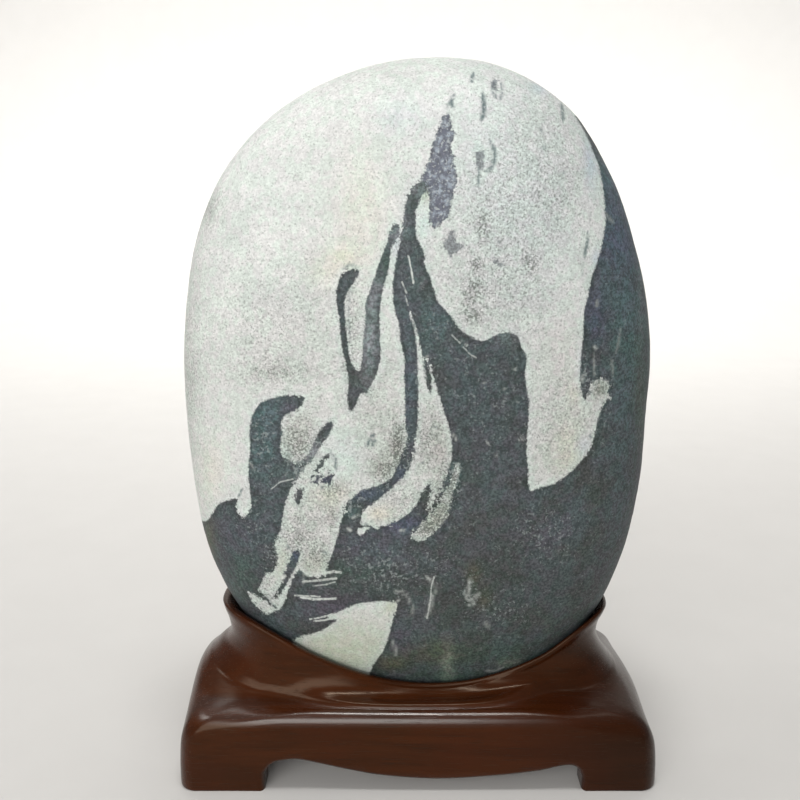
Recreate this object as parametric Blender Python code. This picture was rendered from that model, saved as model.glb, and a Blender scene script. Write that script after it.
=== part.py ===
"""Picture stone: an upright river-worn slab standing in the socket of a carved hardwood stand.

Frame: X to the right across the picture face, -Y towards the viewer, Z up.
The origin is at the middle of the stand's footprint, on the surface that the feet rest on.
Metres throughout, with MM to write the dimensions in millimetres.
"""

import math

import bmesh
import bpy

MM = 0.001

# Stone
STONE_CENTRE_HEIGHT = 150 * MM
STONE_OUTLINE_STEP = 15
# Distance from the stone's centre to its outline, every 15 degrees, clockwise from straight up
STONE_OUTLINE = [
    100.5 * MM, 101.5 * MM, 98.5 * MM, 91.0 * MM, 85.0 * MM, 82.5 * MM,
    82.5 * MM, 85.0 * MM, 93.8 * MM, 107.3 * MM, 122.4 * MM, 131.2 * MM,
    132.0 * MM, 128.5 * MM, 120.5 * MM, 107.5 * MM, 94.0 * MM, 86.0 * MM,
    83.0 * MM, 83.5 * MM, 87.5 * MM, 92.5 * MM, 96.0 * MM, 98.5 * MM,
]
STONE_FRONT_DEPTH = 33 * MM
STONE_BACK_DEPTH = 31 * MM
FACE_FLATNESS = 3.2
FACE_FLATNESS_SWING = 0.5
EDGE_ROUNDNESS = 2.2
SWELL_SPAN = 84 * MM
STONE_SEGMENTS = 72
STONE_RINGS = 13

# Stand
STAND_HALF_WIDTH = 85.2 * MM
STAND_HALF_DEPTH = 38 * MM
STAND_CORNER_RADIUS = 6 * MM
SIDE_STEPS = 5
CORNER_STEPS = 5
FRONT_STEPS = 13

# Crest of the lip that follows the stone: distance across and height, in millimetres
LIP_LINE = [
    (-73.0, 59.0), (-61.0, 56.8), (-50.0, 51.8), (-38.0, 45.0), (-21.0, 37.6), (-5.0, 33.6),
    (9.0, 32.8), (24.0, 34.9), (45.0, 42.8), (58.0, 52.0), (66.0, 56.4), (74.0, 57.4),
]
LIP_LOW = 32.8 * MM
LIP_THICKNESS = 2.2 * MM
# The lip is this much thinner at its right end, and thicker at its left
LIP_SWING = 0.7 * MM
LIP_GAP = 1.2 * MM
SEAT_GAP = 0.65 * MM
LIP_ROUNDING = 0.9 * MM
SEAT_LEVELS = [0.93, 0.82, 0.68, 0.52, 0.38, 0.26, 0.16, 0.08, 0.03]

# The stand's outside from the foot up to the lip. Each row gives, for the middle of the front, the
# corner and the middles of the left and the right end: how far out the point lies (1 is the
# footprint, 0 the lip), and its height in millimetres where the lip is lowest. Then follow the
# share of the lip's rise that the row follows, and how far from the corner the middle is reached.
WALL_ROWS = [
    ((0.995, 0.998, 0.995, 0.995), (0.0, 0.0, 0.0, 0.0), 0.00, 0.50),
    ((1.008, 1.010, 1.008, 1.008), (1.2, 1.2, 1.2, 1.2), 0.00, 0.50),
    ((1.008, 1.007, 1.008, 1.008), (13.0, 8.0, 11.0, 10.0), 0.00, 0.50),
    ((1.000, 0.994, 0.992, 0.970), (23.0, 14.0, 21.5, 20.3), 0.00, 0.50),
    ((0.975, 0.978, 0.972, 0.895), (26.5, 17.6, 26.0, 22.9), 0.00, 0.50),
    ((0.930, 0.945, 0.940, 0.810), (28.3, 20.8, 29.0, 24.8), 0.00, 0.50),
    ((0.870, 0.885, 0.870, 0.690), (29.2, 23.7, 31.4, 26.6), 0.00, 0.50),
    ((0.800, 0.760, 0.740, 0.525), (29.3, 26.4, 33.2, 28.1), 0.02, 0.60),
    ((0.740, 0.580, 0.620, 0.420), (29.1, 27.9, 34.2, 28.9), 0.04, 0.75),
    ((0.690, 0.380, 0.520, 0.360), (29.4, 28.7, 35.0, 29.4), 0.06, 1.00),
    ((0.650, 0.160, 0.430, 0.300), (30.2, 29.4, 35.5, 29.9), 0.08, 1.00),
    ((0.600, 0.080, 0.320, 0.230), (30.8, 31.2, 36.2, 30.6), 0.10, 1.00),
    ((0.500, 0.050, 0.170, 0.110), (30.9, 32.2, 36.2, 31.2), 0.16, 1.00),
    ((0.360, 0.030, -0.080, -0.120), (30.5, 31.4, 33.0, 31.0), 0.37, 1.00),
    ((0.230, 0.010, -0.210, -0.240), (30.6, 30.8, 31.0, 30.6), 0.60, 1.00),
    ((0.130, -0.010, -0.150, -0.190), (31.2, 31.2, 31.0, 31.0), 0.80, 1.00),
    ((0.055, 0.000, -0.040, -0.060), (31.8, 31.8, 31.6, 31.6), 0.93, 1.00),
]
MIDDLE_STARTS = -0.05
END_SHARPNESS = 1.25

# Underside: a shallow recess and the arches that leave four corner feet
RECESS_INSET = 9 * MM
RECESS_HEIGHT = 12.5 * MM
CUT_BELOW = 5 * MM
CUT_BEYOND = 10 * MM
# Lower edge of the front and back apron between the feet: distance across and height
APRON_LINE = [
    (-54.6, 6.5), (-51.5, 10.4), (-46.5, 11.7), (-41.8, 11.8), (-27.7, 8.5), (-13.5, 5.6),
    (7.5, 4.1), (29.0, 5.5), (43.2, 7.4), (52.5, 9.5), (56.6, 8.6), (58.4, 5.0),
]
# Lower edge of the end aprons, plainer, across the depth
END_APRON_LINE = [(-16.8, 5.0), (-14.0, 8.8), (0.0, 9.9), (14.0, 8.8), (16.8, 5.0)]
APRON_STATIONS = 26
END_APRON_STATIONS = 12

STONE_COLOUR = (0.235, 0.265, 0.255, 1.0)
STONE_SURFACE_ROUGHNESS = 0.62
WOOD_COLOUR = (0.060, 0.020, 0.013, 1.0)
WOOD_SURFACE_ROUGHNESS = 0.34


def clear_scene():
    """Remove every object of the open file, so that only the model is left."""
    for item in list(bpy.data.objects):
        bpy.data.objects.remove(item, do_unlink=True)


def plain_material(name, colour, roughness):
    """A Principled BSDF with one colour and roughness, no metal."""
    material = bpy.data.materials.new(name)
    material.use_nodes = True
    shader = material.node_tree.nodes["Principled BSDF"]
    shader.inputs["Base Color"].default_value = colour
    shader.inputs["Roughness"].default_value = roughness
    shader.inputs["Metallic"].default_value = 0.0
    material.diffuse_color = colour
    return material


def outline_radius(angle):
    """Distance from the stone's centre to its outline; angle clockwise from straight up."""
    count = len(STONE_OUTLINE)
    place = (math.degrees(angle) / STONE_OUTLINE_STEP) % count
    first = int(place)
    part = place - first
    before, here, after, beyond = (STONE_OUTLINE[(first + k) % count] for k in (-1, 0, 1, 2))
    slope_here = (after - before) / 2
    slope_after = (beyond - here) / 2
    return (
        here * (1 - part) ** 2 * (1 + 2 * part)
        + after * part**2 * (3 - 2 * part)
        + slope_here * part * (1 - part) ** 2
        - slope_after * part**2 * (1 - part)
    )


def face_flatness(angle):
    """The picture face stays flat out to the left edge and falls away sooner to the right."""
    return FACE_FLATNESS - FACE_FLATNESS_SWING * math.sin(angle)


def face_swell(across, height):
    """Slow hollows and swells of the water-worn faces, as a share of the depth."""
    u = across / SWELL_SPAN
    v = (height - STONE_CENTRE_HEIGHT) / SWELL_SPAN
    return 1 + 0.025 * math.sin(2.1 * u + 1.3 * v) + 0.02 * math.sin(3.2 * v - 1.7 * u + 0.8)


def stone_point(angle, turn, front):
    """A point of the stone: turn runs from 0 at the middle of a face to a quarter turn at the rim."""
    reach = math.sin(turn) ** (2 / face_flatness(angle))
    radius = outline_radius(angle) * reach
    across = radius * math.sin(angle)
    height = STONE_CENTRE_HEIGHT + radius * math.cos(angle)
    depth = STONE_FRONT_DEPTH if front else STONE_BACK_DEPTH
    out = depth * max(math.cos(turn), 0.0) ** (2 / EDGE_ROUNDNESS) * face_swell(across, height)
    return (across, -out if front else out, height)


def stone_half_depth(across, height, front, clearance):
    """Half the stone's thickness, grown by the clearance, at a place of its face; 0 outside it."""
    rise = height - STONE_CENTRE_HEIGHT
    angle = math.atan2(across, rise)
    share = math.hypot(across, rise) / (outline_radius(angle) + clearance)
    if share >= 1:
        return 0.0
    depth = (STONE_FRONT_DEPTH if front else STONE_BACK_DEPTH) * face_swell(across, height)
    return (depth + clearance) * (1 - share ** face_flatness(angle)) ** (1 / EDGE_ROUNDNESS)


def smooth_line(points, place):
    """Height at a place along a line of points, by cubic pieces with no corner between them."""
    last = len(points) - 1
    place = min(max(place, points[0][0]), points[last][0])
    first = max(k for k in range(last) if points[k][0] <= place)

    def slope(k):
        before = points[max(k - 1, 0)]
        after = points[min(k + 1, last)]
        return (after[1] - before[1]) / (after[0] - before[0])

    (x0, z0), (x1, z1) = points[first], points[first + 1]
    span = x1 - x0
    part = (place - x0) / span
    return (
        z0 * (1 - part) ** 2 * (1 + 2 * part)
        + z1 * part**2 * (3 - 2 * part)
        + slope(first) * span * part * (1 - part) ** 2
        - slope(first + 1) * span * part**2 * (1 - part)
    )


def smooth_step(low, high, value):
    """0 below low, 1 above high, and an even turn between."""
    part = min(max((value - low) / (high - low), 0.0), 1.0)
    return part * part * (3 - 2 * part)


def lip_height(across):
    """Height of the lip's crest over a place across the stand."""
    return smooth_line(LIP_LINE, across / MM) * MM


def seat_radius(direction, height_at, clearance):
    """Plan distance along a direction to the stone's skin, grown by the clearance."""
    near = 0.0
    far = 0.12
    front = direction[1] < 0
    for _ in range(36):
        middle = (near + far) / 2
        across = middle * direction[0]
        depth = stone_half_depth(across, height_at(across), front, clearance)
        if abs(middle * direction[1]) < depth:
            near = middle
        else:
            far = middle
    return near


def footprint():
    """Plan points of the stand's footprint, anticlockwise, denser round the four corners."""
    straight_x = STAND_HALF_WIDTH - STAND_CORNER_RADIUS
    straight_y = STAND_HALF_DEPTH - STAND_CORNER_RADIUS
    quarter = [(STAND_HALF_WIDTH, straight_y * k / SIDE_STEPS) for k in range(SIDE_STEPS)]
    for k in range(CORNER_STEPS):
        turn = math.pi / 2 * k / CORNER_STEPS
        quarter.append((
            straight_x + STAND_CORNER_RADIUS * math.cos(turn),
            straight_y + STAND_CORNER_RADIUS * math.sin(turn),
        ))
    quarter += [(straight_x * (1 - k / FRONT_STEPS), STAND_HALF_DEPTH) for k in range(FRONT_STEPS)]
    second = [(-x, y) for x, y in [(0.0, STAND_HALF_DEPTH)] + quarter[:0:-1]]
    half = quarter + second
    return half + [(-x, -y) for x, y in half]


def column_weights(x, y, reach):
    """How much a footprint point belongs to the middle, the corner, the left and the right end."""
    turn = math.cos(2 * math.atan2(abs(y) / STAND_HALF_DEPTH, abs(x) / STAND_HALF_WIDTH))
    end = max(turn, 0.0) ** END_SHARPNESS
    middle = smooth_step(MIDDLE_STARTS, reach, -turn)
    left, right = (0.0, end) if x > 0 else (end, 0.0)
    return middle, 1 - middle - end, left, right


def stand_levels():
    """Closed loops of the stand, from the foot's edge up the wall, over the lip and down the seat."""
    plan = footprint()
    seat_floor = STONE_CENTRE_HEIGHT - outline_radius(math.pi) - SEAT_GAP
    directions = []
    for x, y in plan:
        turn = math.atan2(y / STAND_HALF_DEPTH, x / STAND_HALF_WIDTH)
        across = STAND_HALF_WIDTH * math.cos(turn)
        along = STAND_HALF_DEPTH * math.sin(turn)
        length = math.hypot(across, along)
        directions.append((across / length, along / length))
    lip_loops = []
    for thickness_share, drop in (
        (1.0, LIP_ROUNDING),
        (0.85, LIP_ROUNDING * 0.3),
        (0.5, 0.0),
        (0.12, LIP_ROUNDING * 0.4),
        (0.0, LIP_ROUNDING * 1.2),
    ):
        loop = []
        for way in directions:
            thickness = LIP_THICKNESS - LIP_SWING * way[0]
            radius = seat_radius(way, lip_height, LIP_GAP + thickness * thickness_share)
            x = radius * way[0]
            loop.append((x, radius * way[1], lip_height(x) - drop))
        lip_loops.append(loop)
    lip = lip_loops[0]
    wall_loops = []
    for outs, heights, share, reach in WALL_ROWS:
        loop = []
        for (x, y), (lip_x, lip_y, _) in zip(plan, lip):
            weights = column_weights(x, y, reach)
            out = sum(weight * value for weight, value in zip(weights, outs))
            height = sum(weight * value for weight, value in zip(weights, heights)) * MM
            height += share * (lip_height(lip_x) - LIP_LOW)
            loop.append((lip_x + out * (x - lip_x), lip_y + out * (y - lip_y), height))
        wall_loops.append(loop)
    seat_loops = []
    for level in SEAT_LEVELS:
        loop = []
        clearance = SEAT_GAP + (LIP_GAP - SEAT_GAP) * level
        for way, (lip_x, _, _) in zip(directions, lip_loops[-1]):
            height = seat_floor + (lip_height(lip_x) - LIP_ROUNDING * 1.2 - seat_floor) * level
            radius = seat_radius(way, lambda across, height=height: height, clearance)
            loop.append((radius * way[0], radius * way[1], height))
        seat_loops.append(loop)
    return wall_loops + lip_loops + seat_loops, (0.0, 0.0, seat_floor)


def loft(name, loops, first_pole=None, last_pole=None):
    """A closed mesh through loops of equal count; an end is a pole point or one flat face."""
    shape = bmesh.new()
    rings = [[shape.verts.new(point) for point in loop] for loop in loops]
    count = len(rings[0])
    for lower, upper in zip(rings, rings[1:]):
        for k in range(count):
            n = (k + 1) % count
            shape.faces.new((lower[k], lower[n], upper[n], upper[k]))
    for pole, ring, forward in ((first_pole, rings[0], False), (last_pole, rings[-1], True)):
        if pole is None:
            shape.faces.new(ring if forward else ring[::-1])
            continue
        tip = shape.verts.new(pole)
        for k in range(count):
            pair = (ring[k], ring[(k + 1) % count])
            shape.faces.new((*(pair if forward else pair[::-1]), tip))
    bmesh.ops.recalc_face_normals(shape, faces=shape.faces)
    mesh = bpy.data.meshes.new(name)
    shape.to_mesh(mesh)
    shape.free()
    body = bpy.data.objects.new(name, mesh)
    bpy.context.scene.collection.objects.link(body)
    return body


def prism(name, profile, from_end, to_end, place):
    """A closed prism: the profile's points are placed at both ends of its length."""
    return loft(name, [[place(a, b, end) for a, b in profile] for end in (from_end, to_end)])


def make_stone(material):
    """One solid, a flattened water-worn slab with rounded rims and a narrow foot."""
    angles = [2 * math.pi * k / STONE_SEGMENTS for k in range(STONE_SEGMENTS)]
    turns = [math.pi / 2 * k / STONE_RINGS for k in range(1, STONE_RINGS + 1)]
    loops = [[stone_point(angle, turn, True) for angle in angles] for turn in turns]
    loops += [[stone_point(angle, turn, False) for angle in angles] for turn in turns[-2::-1]]
    stone = loft("stone", loops, stone_point(0.0, 0.0, True), stone_point(0.0, 0.0, False))
    stone.data.materials.append(material)
    stone.data.shade_smooth()
    return stone


def arch_profile(line, stations):
    """The outline of an arch cutter: the apron's lower edge, closed below the feet."""
    start = line[0][0]
    span = line[-1][0] - start
    places = [start + span * k / stations for k in range(stations + 1)]
    edge = [(place * MM, smooth_line(line, place) * MM) for place in places]
    return [(edge[0][0], -CUT_BELOW)] + edge + [(edge[-1][0], -CUT_BELOW)]


def cutter(body, tool):
    """Take the tool's solid out of the body, and keep the tool as a hidden guide."""
    tool.hide_render = True
    tool.display_type = "WIRE"
    cut = body.modifiers.new(tool.name, "BOOLEAN")
    cut.operation = "DIFFERENCE"
    cut.solver = "EXACT"
    cut.object = tool


def make_stand(material):
    """One carved piece: lip and socket for the stone, moulded shoulders, apron and four feet."""
    loops, seat_middle = stand_levels()
    stand = loft("stand", loops, None, seat_middle)
    stand.data.materials.append(material)
    scale_x = 1 - RECESS_INSET / STAND_HALF_WIDTH
    scale_y = 1 - RECESS_INSET / STAND_HALF_DEPTH
    recess = [(x * scale_x, y * scale_y) for x, y in footprint()]
    cutter(stand, prism("recess", recess, -CUT_BELOW, RECESS_HEIGHT, lambda a, b, run: (a, b, run)))
    reach_x = STAND_HALF_WIDTH + CUT_BEYOND
    reach_y = STAND_HALF_DEPTH + CUT_BEYOND
    end = arch_profile(END_APRON_LINE, END_APRON_STATIONS)
    front = arch_profile(APRON_LINE, APRON_STATIONS)
    cutter(stand, prism("end_arch", end, -reach_x, reach_x, lambda a, b, run: (run, a, b)))
    cutter(stand, prism("front_arch", front, -reach_y, reach_y, lambda a, b, run: (a, run, b)))
    stand.data.shade_smooth()
    stand.data.set_sharp_from_angle(angle=math.radians(40))
    return stand


def main():
    clear_scene()
    make_stone(plain_material("stone_skin", STONE_COLOUR, STONE_SURFACE_ROUGHNESS))
    make_stand(plain_material("stand_wood", WOOD_COLOUR, WOOD_SURFACE_ROUGHNESS))


main()
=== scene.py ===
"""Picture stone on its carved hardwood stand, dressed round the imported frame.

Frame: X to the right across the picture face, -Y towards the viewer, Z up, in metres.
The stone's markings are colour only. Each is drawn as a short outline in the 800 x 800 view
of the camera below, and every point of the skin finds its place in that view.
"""

import math
import bmesh
import bpy
import numpy as np
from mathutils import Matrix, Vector, noise


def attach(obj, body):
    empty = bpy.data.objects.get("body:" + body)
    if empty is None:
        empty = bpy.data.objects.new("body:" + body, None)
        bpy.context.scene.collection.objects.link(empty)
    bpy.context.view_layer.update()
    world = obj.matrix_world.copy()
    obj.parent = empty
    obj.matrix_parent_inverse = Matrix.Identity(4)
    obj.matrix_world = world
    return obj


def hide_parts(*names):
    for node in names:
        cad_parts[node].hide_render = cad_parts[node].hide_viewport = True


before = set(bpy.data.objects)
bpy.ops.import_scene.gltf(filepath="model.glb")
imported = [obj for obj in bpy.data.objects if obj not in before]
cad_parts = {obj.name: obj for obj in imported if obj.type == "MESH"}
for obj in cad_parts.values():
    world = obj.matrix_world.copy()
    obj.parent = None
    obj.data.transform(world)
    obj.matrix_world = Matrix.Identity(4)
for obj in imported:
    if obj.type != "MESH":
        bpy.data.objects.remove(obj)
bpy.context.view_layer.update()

MM = 0.001

# Camera, and the view that the markings are drawn in
CAMERA_PLACE = (-0.0064, -0.304, 0.2058)
CAMERA_TILT = math.radians(13.28)
CAMERA_LENS = 38.7
CAMERA_SENSOR = 36.0
CAMERA_NEAREST = 0.01
VIEW_MIDDLE = 400.0
VIEW_FOCUS = CAMERA_LENS / CAMERA_SENSOR * 2 * VIEW_MIDDLE
# Size of one pixel of that view on the picture face
PIXEL = 0.33 * MM

# Stone, the same shape as the CAD solid
STONE_CENTRE_HEIGHT = 150 * MM
STONE_OUTLINE_STEP = 15
# Millimetres from the stone's centre to its outline, every 15 degrees, clockwise from straight up
STONE_OUTLINE = [
    100.5, 101.5, 98.5, 91.0, 85.0, 82.5, 82.5, 85.0, 93.8, 107.3, 122.4, 131.2,
    132.0, 128.5, 120.5, 107.5, 94.0, 86.0, 83.0, 83.5, 87.5, 92.5, 96.0, 98.5,
]
STONE_FRONT_DEPTH = 33 * MM
STONE_BACK_DEPTH = 31 * MM
FACE_FLATNESS = 3.2
FACE_FLATNESS_SWING = 0.5
EDGE_ROUNDNESS = 2.2
# Slow swells of the faces: height as a share of the depth, turns across and up, and their start
SWELLS = [(0.025, 2.1, 1.3, 0.0), (0.02, -1.7, 3.2, 0.8)]
SWELL_SPAN = 84 * MM
# Middle size of the outline, by which the rings are spaced, and the fineness of that sum
RING_REACH = 92 * MM
TURN_SAMPLES = 4000
POINTS_MORE_PER_RING = 6
FRONT_RINGS = 160
BACK_RINGS = 80

# Water-worn relief: how high each size of unevenness stands, and how many of it to the metre
RELIEF = [(0.22 * MM, 42.0), (0.09 * MM, 150.0), (0.035 * MM, 520.0)]

# Stand, the same shape as the CAD solid with finer steps
STAND_HALF_WIDTH = 85.2 * MM
STAND_HALF_DEPTH = 38 * MM
STAND_CORNER_RADIUS = 6 * MM
SIDE_STEPS = 20
CORNER_STEPS = 16
FRONT_STEPS = 54
LIP_LINE = [
    (-73.0, 59.0), (-61.0, 56.8), (-50.0, 51.8), (-38.0, 45.0), (-21.0, 37.6), (-5.0, 33.6),
    (9.0, 32.8), (24.0, 34.9), (45.0, 42.8), (58.0, 52.0), (66.0, 56.4), (74.0, 57.4),
]
LIP_LOW = 32.8 * MM
LIP_THICKNESS = 2.2 * MM
# The lip is this much thinner at its right end, and thicker at its left
LIP_SWING = 0.7 * MM
LIP_GAP = 1.2 * MM
SEAT_GAP = 0.65 * MM
LIP_ROUNDING = 0.9 * MM
LIP_SQUARENESS = 2.6
LIP_STEPS = 12
SEAT_STEPS = 22
SEAT_LOWEST = 0.03
# Distance within which the seat's wall is looked for, and how often the search is halved
SEARCH_REACH = 0.12
SEARCH_STEPS = 36
# Rows of the wall from the foot up to the lip, as in the CAD source but with a rounder crest: how
# far out the front's middle, the corner and the left and right end lie, their heights in
# millimetres, the share of the lip's rise and how far from the corner the middle is reached
WALL_ROWS = [
    ((0.995, 0.998, 0.995, 0.995), (0.0, 0.0, 0.0, 0.0), 0.00, 0.50),
    ((1.008, 1.010, 1.008, 1.008), (1.2, 1.2, 1.2, 1.2), 0.00, 0.50),
    ((1.008, 1.007, 1.008, 1.008), (13.0, 8.0, 11.0, 10.0), 0.00, 0.50),
    ((0.998, 0.994, 0.992, 0.970), (21.5, 14.0, 21.5, 20.3), 0.00, 0.50),
    ((0.970, 0.978, 0.972, 0.895), (25.4, 17.6, 26.0, 22.9), 0.00, 0.50),
    ((0.925, 0.945, 0.940, 0.810), (27.3, 20.8, 29.0, 24.8), 0.00, 0.50),
    ((0.865, 0.885, 0.870, 0.690), (28.5, 23.7, 31.4, 26.6), 0.00, 0.50),
    ((0.798, 0.760, 0.740, 0.525), (29.2, 26.4, 33.2, 28.1), 0.02, 0.60),
    ((0.728, 0.580, 0.620, 0.420), (29.5, 27.9, 34.2, 28.9), 0.04, 0.75),
    ((0.685, 0.380, 0.520, 0.360), (29.5, 28.7, 35.0, 29.4), 0.06, 1.00),
    ((0.650, 0.160, 0.430, 0.300), (30.2, 29.4, 35.5, 29.9), 0.08, 1.00),
    ((0.600, 0.080, 0.320, 0.230), (30.8, 31.2, 36.2, 30.6), 0.10, 1.00),
    ((0.500, 0.050, 0.170, 0.110), (30.9, 32.2, 36.2, 31.2), 0.16, 1.00),
    ((0.360, 0.030, -0.080, -0.120), (30.5, 31.4, 33.0, 31.0), 0.37, 1.00),
    ((0.230, 0.010, -0.210, -0.240), (30.6, 30.8, 31.0, 30.6), 0.60, 1.00),
    ((0.130, -0.010, -0.150, -0.190), (31.2, 31.2, 31.0, 31.0), 0.80, 1.00),
    ((0.055, 0.000, -0.040, -0.060), (31.8, 31.8, 31.6, 31.6), 0.93, 1.00),
]
ROW_STEPS = 5
# Where, from the foot to the lip, folds are smoothed out, and how often
EASING_STARTS = 0.25
EASING_FULL = 0.45
EASING_FADES = 0.85
EASING_PASSES = 10
EASING_STRENGTH = 0.5
MIDDLE_STARTS = -0.05
END_SHARPNESS = 1.25
RECESS_INSET = 9 * MM
RECESS_HEIGHT = 12.5 * MM
CUT_BELOW = 5 * MM
CUT_BEYOND = 10 * MM
APRON_LINE = [
    (-54.6, 6.5), (-51.5, 10.4), (-46.5, 11.7), (-41.8, 11.8), (-27.7, 8.5), (-13.5, 5.6),
    (7.5, 4.1), (29.0, 5.5), (43.2, 7.4), (52.5, 9.5), (56.6, 8.6), (58.4, 5.0),
]
END_APRON_LINE = [(-16.8, 5.0), (-14.0, 8.8), (0.0, 9.9), (14.0, 8.8), (16.8, 5.0)]
APRON_STATIONS = 90
# Rounding of the arches' outer edges
EDGE_ROUNDING = 2.4 * MM
EDGE_STARTS_INSIDE = 2.1 * MM
EDGE_STEPS = 6
SHARP_EDGE = math.radians(38)

# The large dark body, its left limb and the dark right side, as one outline
DARK_BODY = [
    (190, 522), (206, 521), (212, 514), (218, 505), (228, 500), (238, 498), (236.5, 507), (242, 517),
    (248, 513), (251, 504), (249.5, 488), (248.5, 472), (250, 448), (249.5, 432), (252, 417),
    (257, 407), (262, 402), (275, 397.5), (290, 395), (303, 396.5), (303, 402), (298, 408.5),
    (290, 413), (284, 417), (281, 424), (282.5, 433), (281, 442), (281.5, 454), (288, 460),
    (297, 463.5), (308, 455), (314, 442), (320, 430), (330, 421), (333, 419), (333, 426), (327, 438),
    (320, 448), (313, 459), (304, 468), (297, 479), (291, 489), (286, 501), (283, 516), (280, 532),
    (276, 541), (274.5, 548), (278, 559), (275.5, 568), (271, 573.5), (266, 573.5), (262, 583),
    (258.5, 589), (263, 595), (269, 600.5), (276, 607.5), (270, 604), (261, 598.5), (255, 594.5),
    (248, 591), (251, 598), (259, 609), (266, 614), (272, 612), (280, 609), (285, 600), (289, 588),
    (293, 578), (300, 570), (305, 574.5), (313, 577.5), (331, 574.5), (326.5, 569), (331, 556),
    (335, 544), (339, 531), (341, 520), (345, 511), (345, 505), (352, 498), (363, 490), (378, 485.5),
    (391, 478), (397, 466), (401, 455), (406, 444), (408, 436), (405.5, 424), (405, 400),
    (404.5, 375), (404.5, 360), (401, 343), (399, 325), (395, 312), (393, 295), (393, 280),
    (396, 262), (399, 245), (402, 228), (404.5, 210), (408, 195), (419, 181), (428, 186), (424, 193),
    (419, 205), (416, 212), (416, 234), (421, 246), (425, 257), (424.5, 264), (430, 277), (434, 290),
    (440, 304), (450, 315), (458, 327), (466, 334), (481, 341), (490, 338), (500, 333.5),
    (512, 333), (519, 338), (522, 348), (526.5, 358), (525.5, 373), (527, 391), (529, 402),
    (528.5, 425), (526.5, 448), (528, 470), (530, 490), (540, 487), (550, 485), (560, 480),
    (569, 473), (581, 461), (590, 448), (595, 433), (598, 419), (603, 405), (605.5, 401), (610, 398),
    (607.5, 392), (609, 381), (598, 380), (592, 384), (588, 394), (585, 402), (582, 392), (580, 380),
    (581, 358), (583, 335), (583.5, 315), (588, 295), (592, 276), (599, 256), (604.5, 230),
    (605, 212), (603, 187), (599, 167), (592, 148), (583, 128), (575, 113), (590, 96), (720, 250),
    (740, 480), (650, 700), (400, 760), (200, 700), (150, 560),
]
SECOND_STRIPE = [
    (396, 224), (391, 231), (386, 246), (379, 263), (371, 287), (365.5, 302), (365, 322), (363, 345),
    (361.5, 362), (359, 371), (354, 367), (350, 358), (348.5, 350), (346.5, 330), (344.5, 312),
    (345, 300), (347, 293), (354, 282), (359.5, 273), (356, 270), (350, 269), (343, 272), (340, 276),
    (337, 288), (336, 300), (338.5, 312), (340, 330), (341.5, 346), (345, 360), (348.5, 380),
    (347.5, 400), (350, 412), (354, 408), (357.5, 402), (360, 394.5), (367, 392), (373, 381),
    (378, 371), (380.5, 358), (380, 335), (380, 312), (382, 294), (386, 279), (389.5, 264),
    (391.5, 248), (399.5, 236), (399, 226),
]
PALE_LEAF = [
    (410, 311), (413, 320), (417.5, 332), (420.5, 348), (423, 357), (429, 364), (433, 375),
    (438, 392), (444, 412), (449, 428), (452, 442), (451.5, 458), (449, 468), (445, 480), (440, 491),
    (434, 503), (429, 510), (426, 509.5), (428, 500), (430.5, 489), (430, 484), (424, 490),
    (419, 500), (412, 510), (404, 516.5), (396, 521), (386, 525.5), (377, 528), (371, 527),
    (362, 524.5), (361.5, 517), (366, 508.5), (375, 503), (384, 495), (391, 489), (397, 483),
    (405, 475), (410, 466), (413, 455), (415, 441), (417.5, 425), (418.5, 400), (417.5, 372),
    (417, 348), (414, 328), (409, 314),
]
PALE_CRESCENT = [
    (456, 463), (453, 472), (450, 484), (445, 490), (441, 500), (434, 509), (427, 518), (416, 529),
    (411, 538), (418, 541), (427, 539), (436, 531), (445, 522), (450, 510), (452, 495), (456, 484),
    (460, 470), (459, 463),
]
PALE_TRIANGLE = [
    (293.5, 640), (306, 635.5), (318, 632), (329, 626), (336, 619.5), (327, 618), (333, 613.5),
    (341, 610.5), (350, 606), (360, 603.5), (370, 602), (386, 601), (394, 601.5), (397.5, 604),
    (394, 617), (389, 634), (383, 651), (374, 664), (370, 672), (364, 695), (320, 690), (300, 665),
    (296, 648),
]
PALE_SPUR = [(357, 530), (364, 527), (371, 526.5), (366, 531), (360, 535.5)]
BROWN_WEDGE = [(422.5, 355), (427, 361), (431, 371), (432, 384), (430.5, 393), (427.5, 388), (425, 374)]
LEG_LINE = [
    (298, 549), (300, 554), (297.5, 563), (294, 571), (288.5, 580), (283.5, 590), (277, 598),
    (273.5, 597.5), (278, 590), (283.5, 579), (286, 568), (290, 561), (292, 553),
]
LEAF_MARK = [(298, 488), (303, 489), (302, 497), (299, 504.5), (296, 503), (295, 497), (297, 490)]
SLANT_MARK = [
    (328, 453), (329.5, 457), (325, 462), (322, 468), (318, 472), (312.5, 477.5), (311, 475),
    (316, 468), (320, 462), (323, 457),
]
DUSK_MARK = [
    (313, 482), (318, 478), (325, 476), (333, 472), (334, 475), (331, 481), (328, 484.5),
    (323, 482.5), (317, 482.5),
]
RIGHT_BLOT = [
    (452, 229), (455, 236), (457.5, 242), (464, 245), (463, 248.5), (457, 251), (452, 256),
    (447, 251), (442, 247), (445, 242), (445, 238), (449, 235),
]
SMALL_BLOT = [(493, 258), (498, 260), (503.5, 264), (499, 266), (494.5, 263.5)]
TOP_BLOT = [(493, 79), (497, 80), (497, 87), (496, 92), (493, 88.5), (491.5, 84)]
LOOP_BLOT = [
    (477.5, 151), (484, 151.5), (485, 156), (482, 160), (483, 166), (480, 168.5), (477, 163),
    (474.5, 158),
]
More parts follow.
